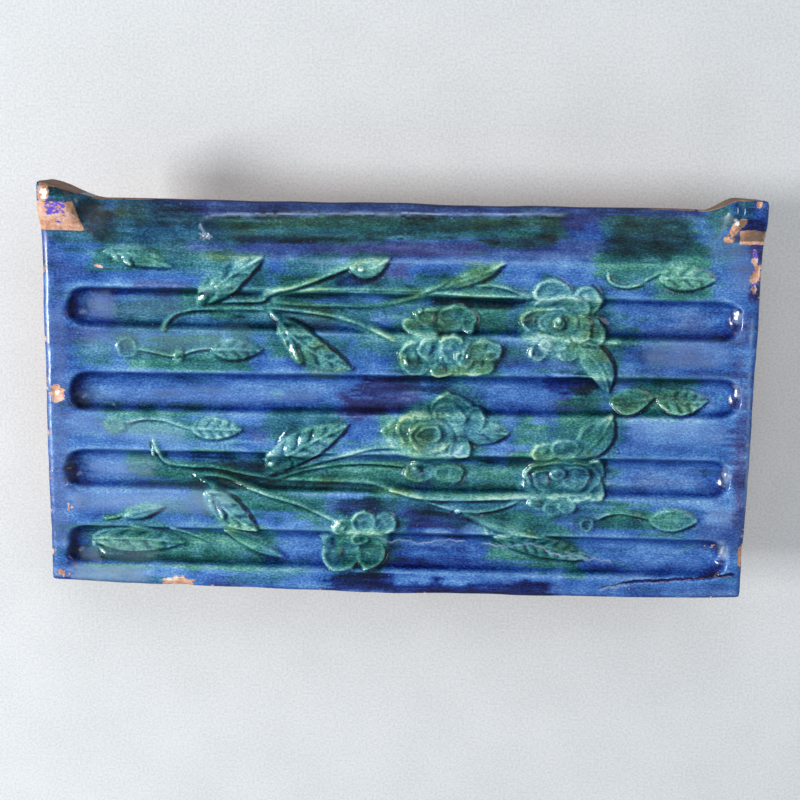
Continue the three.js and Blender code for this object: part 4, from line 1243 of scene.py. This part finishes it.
previous = loop
wall_noise = ring_noise(loop_points, size=9, seed=71)
wall_fine = ring_noise(loop_points, size=2.2, seed=79)
edge_height = loop_points[:, 2]
near_ears = on_high * smooth(*EAR_WALL, np.abs(loop_points[:, 0]))
for reach, drop, share in WALL_ROWS:
    out = RIM_INSET * reach
    if share is None:
        z = edge_height - drop
    else:
        out = out + WALL_WAVE * wall_noise - WALL_TUCK
        z = PLATE_BACK + (edge_height - RIM_FOOT - PLATE_BACK) * share
    places = np.column_stack([loop_points[:, :2] + outwards * (out * corner_cut)[:, None], z])
    hem = HEM["height"] + HEM["wave"] * wall_noise + HEM["ripple"] * wall_fine
    hem = hem - HEM["lower_at_crest"] * on_high
    glazed = np.clip((z - hem) / HEM_SOFTNESS + 0.5, 0, 1)
    row_values = {name: shell.values[name][0][loop] * 0.8 for name in ("green", "olive", "violet", "pale_and_highlight")}
    row_values["matte"] = 1.0
    row_bare = 1 - glazed
    if share is None:
        broken_off = shell.values["bare"][0][loop] * smooth(-0.7, 0.7, 1.4 + 2.4 * wall_fine - drop)
        row_bare = np.maximum(row_bare, broken_off)
    row_bare = np.maximum(row_bare, near_ears * smooth(-0.5, -0.1, wall_fine + 0.6 * wall_noise))
    # Glaze beads darker at its hem; the crest's wall, facing away from the light, is darkened as painted
    # shade
    row_pool = 0.62 + 0.25 * smooth(1.5, 0, z - hem) + 0.3 * on_high
    ring = shell.add(places, pool=row_pool, bare=row_bare, **row_values)
    shell.band(previous, ring)
    previous = ring

# The back: the plate's margin, the collar and the floor inside it

COLLAR_POINTS = 320


def rounded_ring(inset, level):
    """Points round the collar at an inset from its outer face."""
    left = -HALF_LENGTH + COLLAR_INSET + inset
    right = HALF_LENGTH - COLLAR_INSET - inset
    low = LOWER_EDGE + COLLAR_INSET + inset
    high = LIP_LINE - COLLAR_CREST_INSET - inset
    radius = max(2.0, COLLAR_CORNER - inset)
    pieces = [(right - radius, low + radius, -90), (right - radius, high - radius, 0),
              (left + radius, high - radius, 90), (left + radius, low + radius, 180)]
    dense = []
    for centre_x, centre_y, start in pieces:
        for angle in np.radians(start + np.arange(0, 91, 6)):
            dense.append((centre_x + radius * math.cos(angle), centre_y + radius * math.sin(angle)))
    dense = np.array(dense + dense[:1])
    lengths = np.concatenate([[0], np.cumsum(np.hypot(*np.diff(dense, axis=0).T))])
    shares = np.linspace(0, lengths[-1], COLLAR_POINTS, endpoint=False)
    x = np.interp(shares, lengths, dense[:, 0])
    y = np.interp(shares, lengths, dense[:, 1])
    return np.column_stack([x, y, np.full(COLLAR_POINTS, float(level))])


# Each row of the collar: inset from its outer face, height, and how rough the clay is there
COLLAR_ROWS = [
    (-2.2, PLATE_BACK, 0), (-0.9, 37.4, 0.1), (-0.2, 36, 0.2), (0, 31, 0.4), (0, 25, 0.5), (0, 19, 0.5),
    (0, 13, 0.5), (0, 7, 0.4), (0.1, 3, 0.3), (0.7, 1, 0.15), (2.2, 0.15, 0.05), (4.5, 0, 0), (7.5, 0, 0),
    (10, 0.2, 0.05), (11.3, 1.2, 0.15), (11.9, 3.2, 0.3), (COLLAR_WALL, 8, 0.5), (COLLAR_WALL, 14, 0.6),
    (COLLAR_WALL, 20, 0.6), (COLLAR_WALL, 26, 0.6), (12.1, 32, 0.4), (12.6, 35.5, 0.3), (14.2, 37.5, 0.2),
    (17, PLATE_BACK, 0.2),
]
first_collar = None
inner_ring = None
for inset, level, rough in COLLAR_ROWS:
    places = rounded_ring(inset, level)
    direction = np.column_stack([np.sign(places[:, 0]) * smooth(100, 140, np.abs(places[:, 0])),
                                 np.sign(places[:, 1]) * smooth(40, 70, np.abs(places[:, 1]))])
    wave = ring_noise(places + level * 0.6, 11, 91) * 0.9 + ring_noise(places - level * 0.9, 3.0, 97) * 0.35
    facing = 1 if inset < COLLAR_WALL / 2 else -1
    places[:, :2] += direction * (rough * wave * 0.8 - 0.25 * rough)[:, None] * facing
    if 0 < level < PLATE_BACK:
        places[:, 2] += 0.12 * wave
    ring = shell.add(places, bare=1.0, pool=0.5)
    if first_collar is None:
        first_collar = (ring, places)
    else:
        shell.band(inner_ring, ring)
    inner_ring = ring


def way_round(points):
    """Each point's share of the way round, by its angle from the lower left corner."""
    angle = np.arctan2(points[:, 1] / PLATE_WIDTH, points[:, 0] / PLATE_LENGTH)
    share = (angle + math.pi * 0.75) / (2 * math.pi)
    return share % 1.0


collar_ring, collar_places = first_collar
loop_shares = way_round(loop_points)
collar_shares = way_round(collar_places)
start_loop = int(np.argmin(loop_shares))
start_collar = int(np.argmin(collar_shares))
shell.zip_rings(np.roll(previous, -start_loop), np.roll(loop_shares, -start_loop),
                np.roll(collar_ring, -start_collar), np.roll(collar_shares, -start_collar))

# The floor inside the collar, pressed into the mould by hand
FLOOR_SHARES = [0.93, 0.86, 0.78, 0.7, 0.61, 0.52, 0.43, 0.34, 0.25, 0.16, 0.07]
FLOOR_SINK = 0.6
HUB_RISE = 0.2
for share in FLOOR_SHARES:
    x, y = (places[:, :2] * share).T
    dents = 0.55 * cloud(x + y * 0.3, y - x * 0.2, 16, 9, 131, 3) + 0.18 * cloud(x, y, 3.0, 2.4, 137, 2)
    ring = shell.add(np.column_stack([x, y, PLATE_BACK + dents - FLOOR_SINK]), bare=1.0, pool=0.5)
    shell.band(inner_ring, ring)
    inner_ring = ring
hub = shell.add([(0, 0, PLATE_BACK - FLOOR_SINK + HUB_RISE)], bare=1.0, pool=0.5)
around = np.stack([inner_ring, np.full(len(inner_ring), hub[0]), np.roll(inner_ring, -1)], axis=1)
shell.faces.append(around)


def uneven_outline(points):
    """How far the outline wanders from straight, dying out a little way in."""
    x, y = points[:, 0], points[:, 1]
    from_side = np.maximum(0, HALF_LENGTH - np.abs(x))
    from_edge = np.maximum(0, np.minimum(y - lower_edge_at(x), crest_edge_at(x) - y))
    level = np.zeros_like(x)
    sway_x = 0.5 * cloud(y, level, 24, 10, 151, 3) - 0.25
    sway_y = 0.45 * cloud(x, level, 30, 10, 157, 3) - 0.2
    sway_y = sway_y + LOWER_EDGE_SAG * (y < 0) * smooth(120, -40, x)
    drift = [np.sign(x) * sway_x * smooth(9, 0, from_side), np.sign(y) * sway_y * smooth(9, 0, from_edge)]
    return np.column_stack(drift)


def make_piece():
    points = np.concatenate(shell.points)
    points[:, :2] += uneven_outline(points)
    points[:, 1] += PLATE_SHIFT
    faces = np.concatenate(shell.faces)
    mesh = bpy.data.meshes.new("stove_tile_glazed")
    mesh.vertices.add(len(points))
    mesh.vertices.foreach_set("co", (points * MM).astype(np.float32).ravel())
    mesh.loops.add(len(faces) * 3)
    mesh.loops.foreach_set("vertex_index", faces.astype(np.int32).ravel())
    mesh.polygons.add(len(faces))
    mesh.polygons.foreach_set("loop_start", np.arange(0, len(faces) * 3, 3, dtype=np.int32))
    mesh.update(calc_edges=True)
    mesh.validate()
    mesh.polygons.foreach_set("use_smooth", np.ones(len(mesh.polygons), bool))
    for name in ATTRIBUTES:
        layer = mesh.attributes.new(name, "FLOAT", "POINT")
        layer.data.foreach_set("value", np.concatenate(shell.values[name]).astype(np.float32))
    piece = bpy.data.objects.new("stove_tile_glazed", mesh)
    bpy.context.scene.collection.objects.link(piece)
    print("triangles", len(faces), "points", len(points))
    return piece


# Materials

def linear(red, green, blue):
    """A colour given as it looks on a screen, 0 to 255, as the linear values that shaders take."""
    values = []
    for part in (red, green, blue):
        part = part / 255
        values.append(part / 12.92 if part <= 0.04045 else ((part + 0.055) / 1.055) ** 2.4)
    return (*values, 1.0)


class Nodes:
    """A material's node tree, built by short calls."""

    def __init__(self, name):
        self.material = bpy.data.materials.new(name)
        self.material.use_nodes = True
        self.tree = self.material.node_tree
        self.shader = self.tree.nodes["Principled BSDF"]
        self.place = self.tree.nodes.new("ShaderNodeTexCoord").outputs["Object"]

    def join(self, socket, value):
        if isinstance(value, bpy.types.NodeSocket):
            self.tree.links.new(value, socket)
        else:
            socket.default_value = value

    def carried(self, name):
        node = self.tree.nodes.new("ShaderNodeAttribute")
        node.attribute_name = name
        return node.outputs["Fac"]

    def sum(self, operation, *values, clamp=False):
        node = self.tree.nodes.new("ShaderNodeMath")
        node.operation = operation
        node.use_clamp = clamp
        for socket, value in zip(node.inputs, values):
            self.join(socket, value)
        return node.outputs[0]

    def stretched(self, scale):
        node = self.tree.nodes.new("ShaderNodeMapping")
        self.join(node.inputs["Vector"], self.place)
        node.inputs["Scale"].default_value = scale
        return node.outputs[0]

    def scaled(self, value, amount):
        return self.sum("MULTIPLY", value, amount)

    def noise(self, scale, stretch=(1, 1, 1), detail=4.0, roughness=0.55, warp=0.0):
        node = self.tree.nodes.new("ShaderNodeTexNoise")
        self.join(node.inputs["Vector"], self.stretched(stretch))
        node.inputs["Scale"].default_value = scale
        node.inputs["Detail"].default_value = detail
        node.inputs["Roughness"].default_value = roughness
        node.inputs["Distortion"].default_value = warp
        return node.outputs["Fac"]

    def cells(self, scale):
        node = self.tree.nodes.new("ShaderNodeTexVoronoi")
        self.join(node.inputs["Vector"], self.place)
        node.inputs["Scale"].default_value = scale
        return node.outputs["Distance"]

    def ramp(self, value, stops):
        node = self.tree.nodes.new("ShaderNodeValToRGB")
        points = node.color_ramp.elements
        while len(points) < len(stops):
            points.new(0.5)
        for point, (place, colour) in zip(points, stops):
            point.position = place
            point.color = colour
        self.join(node.inputs["Fac"], value)
        return node.outputs["Color"]

    def range(self, value, low, high, to_low=0.0, to_high=1.0):
        node = self.tree.nodes.new("ShaderNodeMapRange")
        node.interpolation_type = "SMOOTHSTEP"
        for socket, number in zip(node.inputs, (value, low, high, to_low, to_high)):
            self.join(socket, number)
        return node.outputs[0]

    def mix(self, share, first, second):
        node = self.tree.nodes.new("ShaderNodeMix")
        node.data_type = "RGBA"
        colour_a, colour_b = node.inputs[6], node.inputs[7]
        self.join(node.inputs["Factor"], share)
        self.join(colour_a, first)
        self.join(colour_b, second)
        return node.outputs[2]

    def bump(self, height, strength, distance, normal=None):
        node = self.tree.nodes.new("ShaderNodeBump")
        node.inputs["Strength"].default_value = strength
        node.inputs["Distance"].default_value = distance
        self.join(node.inputs["Height"], height)
        if normal is not None:
            self.join(node.inputs["Normal"], normal)
        return node.outputs[0]


def glaze_colour(nodes):
    streaks = nodes.noise(330, (0.14, 1, 1), 6, 0.66, 0.4)
    mottle = nodes.noise(190, (0.6, 1, 1), 6, 0.66)
    speckle = nodes.noise(1500, (0.6, 1, 1), 3, 0.6)
    swirl = nodes.noise(75, (0.45, 1, 1), 6, 0.6, 0.8)
    thickness_and_light = nodes.carried("pool")
    for pattern, amount in ((streaks, 0.3), (mottle, 0.46), (speckle, 0.9)):
        shift = nodes.scaled(nodes.sum("SUBTRACT", pattern, 0.5), amount)
        thickness_and_light = nodes.sum("ADD", thickness_and_light, shift)
    blue = nodes.ramp(thickness_and_light, [
        (0.0, linear(160, 196, 220)), (0.2, linear(105, 152, 204)), (0.43, linear(61, 108, 177)),
        (0.62, linear(32, 73, 146)), (0.8, linear(15, 36, 112)), (1.0, linear(6, 11, 48))])
    green = nodes.ramp(thickness_and_light, [
        (0.0, linear(180, 220, 196)), (0.2, linear(102, 168, 150)), (0.43, linear(52, 118, 110)),
        (0.62, linear(20, 80, 80)), (0.8, linear(8, 46, 54)), (1.0, linear(4, 14, 26))])
    olive = nodes.ramp(thickness_and_light, [
        (0.0, linear(180, 200, 128)), (0.3, linear(88, 128, 76)), (0.6, linear(44, 76, 52)),
        (1.0, linear(16, 24, 20))])
    violet = nodes.ramp(thickness_and_light, [
        (0.0, linear(130, 130, 172)), (0.3, linear(76, 80, 138)), (0.6, linear(46, 48, 100)),
        (1.0, linear(20, 18, 40))])
    teal = nodes.range(nodes.sum("SUBTRACT", swirl, nodes.scaled(streaks, 0.25)), 0.44, 0.6, 0.0, 0.42)
    plum = nodes.range(swirl, 0.44, 0.3, 0.0, 0.14)
    colour = nodes.mix(teal, blue, green)
    colour = nodes.mix(nodes.sum("ADD", nodes.carried("violet"), plum, clamp=True), colour, violet)
    greened = nodes.sum("MULTIPLY", nodes.carried("green"), nodes.range(mottle, 0.25, 0.55, 0.7, 1.0))
    colour = nodes.mix(greened, colour, green)
    olived = nodes.sum("MULTIPLY", nodes.carried("olive"), nodes.range(swirl, 0.36, 0.6, 0.3, 1.0))
    colour = nodes.mix(olived, colour, olive)
    # Pale marks: milky glaze and white chip edges, with painted highlights and reflections
    veil_and_highlight = nodes.sum("MULTIPLY", nodes.carried("pale_and_highlight"), nodes.range(mottle, 0.3, 0.7, 0.4, 1.0))
    colour = nodes.mix(veil_and_highlight, colour, linear(150, 176, 208))
    # Paler specks: partly pinholes in the glaze, partly painted glints
    specks = nodes.range(nodes.sum("ADD", nodes.cells(260), nodes.scaled(swirl, 0.16)), 0.16, 0.08, 0.0, 0.5)
    return nodes.mix(specks, colour, linear(170, 190, 206))


def clay_colour(nodes):
    grain = nodes.noise(520, (0.7, 1.2, 1), 8, 0.75)
    patches = nodes.noise(130, (1, 1, 1), 5, 0.65)
    clay = nodes.ramp(grain, [
        (0.34, linear(148, 98, 76)), (0.46, linear(212, 144, 106)), (0.56, linear(232, 180, 144)),
        (0.68, linear(248, 234, 222))])
    dust = nodes.ramp(patches, [
        (0.36, linear(124, 88, 74)), (0.48, linear(204, 156, 134)), (0.62, linear(228, 212, 202))])
    coarse = nodes.noise(230, (0.8, 1.4, 1), 4, 0.6)
    uneven = nodes.sum("ADD", nodes.noise(700, (0.6, 1.2, 1), 5, 0.72), coarse)
    broken = nodes.scaled(nodes.sum("SUBTRACT", uneven, 1.0), 2.6)
    smear = nodes.range(nodes.sum("ADD", nodes.carried("violet"), broken), 0.78, 1.0, 0.0, 0.9)
    # Clay is drawn darker where the glaze-depth value is high: grime in the crack, painted shade on the
    # crest's wall
    grime_and_shade = nodes.range(nodes.carried("pool"), 0.66, 0.94, 0.0, 0.84)
    soiled_and_shaded = nodes.mix(grime_and_shade, nodes.mix(0.48, clay, dust), linear(92, 78, 66))
    slip = nodes.range(nodes.sum("ADD", nodes.carried("pale_and_highlight"), nodes.scaled(broken, 0.4)), 0.4, 0.7, 0.0, 0.9)
    soiled_and_shaded = nodes.mix(slip, soiled_and_shaded, linear(246, 238, 226))
    return nodes.mix(smear, soiled_and_shaded, linear(78, 64, 206))


def make_glaze():
    nodes = Nodes("glazed_relief")
    bare_share = nodes.range(nodes.carried("bare"), 0.35, 0.65)
    colour = nodes.mix(bare_share, glaze_colour(nodes), clay_colour(nodes))
    nodes.join(nodes.shader.inputs["Base Color"], colour)
    gloss = nodes.range(nodes.noise(500, (0.5, 1, 1), 3), 0.3, 0.8, 0.12, 0.26)
    dulled = nodes.sum("ADD", gloss, nodes.scaled(nodes.carried("matte"), 0.2))
    rough = nodes.sum("ADD", dulled, nodes.scaled(bare_share, 0.62), clamp=True)
    nodes.join(nodes.shader.inputs["Roughness"], rough)
    nodes.shader.inputs["IOR"].default_value = 1.42
    ripple = nodes.bump(nodes.noise(300, (0.55, 1, 1), 2, 0.5), 0.16, 0.0004)
    pits = nodes.range(nodes.cells(520), 0.0, 0.16, 0.0, 1.0)
    pitted = nodes.bump(pits, 0.12, 0.0003, ripple)
    grit = nodes.sum("MULTIPLY", nodes.noise(1300, (1, 1, 1), 5, 0.7), bare_share)
    rough_clay = nodes.bump(grit, 0.9, 0.0005, pitted)
    nodes.join(nodes.shader.inputs["Normal"], rough_clay)
    return nodes.material


# Lights, floor and sky

# Each light: place and size in metres, power in watts, and whether the glaze mirrors it
LIGHTS = {
    "key": ((-1.2, -0.08, 0.86), 0.36, 19.8, True),
    "fill_1": ((0.1, -1.4, 1.2), 1.0, 4.5, False),
    "fill_2": ((0.9, 0.6, 1.5), 0.8, 6, True),
    "fill_3": ((0.1, 1.3, 1.5), 0.9, 7.5, False),
}
LIGHT_TARGET = Vector((0, 0, 0.04))
FLOOR_HALF = 3.0


def area_light(name, place, size, power, glossy):
    data = bpy.data.lights.new(name, "AREA")
    data.shape = "SQUARE"
    data.size = size
    data.energy = power
    light = bpy.data.objects.new(name, data)
    light.location = place
    light.rotation_euler = (LIGHT_TARGET - Vector(place)).to_track_quat("-Z", "Y").to_euler()
    light.visible_glossy = glossy
    bpy.context.scene.collection.objects.link(light)


def make_sky():
    world = bpy.data.worlds.new("studio")
    world.use_nodes = True
    background = world.node_tree.nodes["Background"]
    background.inputs["Color"].default_value = (0.86, 0.93, 1.0, 1.0)
    background.inputs["Strength"].default_value = 0.35
    bpy.context.scene.world = world


def make_floor():
    nodes = Nodes("pale_floor")
    fine = nodes.scaled(nodes.noise(900, (1, 1, 1), 3), 0.8)
    grain = nodes.sum("ADD", nodes.scaled(nodes.noise(30, (1, 1, 1), 3), 0.2), fine)
    tone = nodes.ramp(grain, [
        (0.38, linear(198, 201, 203)), (0.5, linear(207, 210, 212)), (0.62, linear(215, 217, 219))])
    nodes.join(nodes.shader.inputs["Base Color"], tone)
    nodes.shader.inputs["Roughness"].default_value = 0.85
    mesh = bpy.data.meshes.new("floor")
    corners = [(x * FLOOR_HALF, y * FLOOR_HALF, 0) for x, y in ((-1, -1), (1, -1), (1, 1), (-1, 1))]
    mesh.from_pydata(corners, [], [(0, 1, 2, 3)])
    mesh.materials.append(nodes.material)
    floor = bpy.data.objects.new("floor", mesh)
    bpy.context.scene.collection.objects.link(floor)


make_camera()
tile = make_piece()
tile.data.materials.append(make_glaze())
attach(tile, "root")
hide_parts("stove_tile")
make_floor()
make_sky()
for name, light in LIGHTS.items():
    area_light(name, *light)
bpy.context.scene.view_settings.view_transform = "Standard"
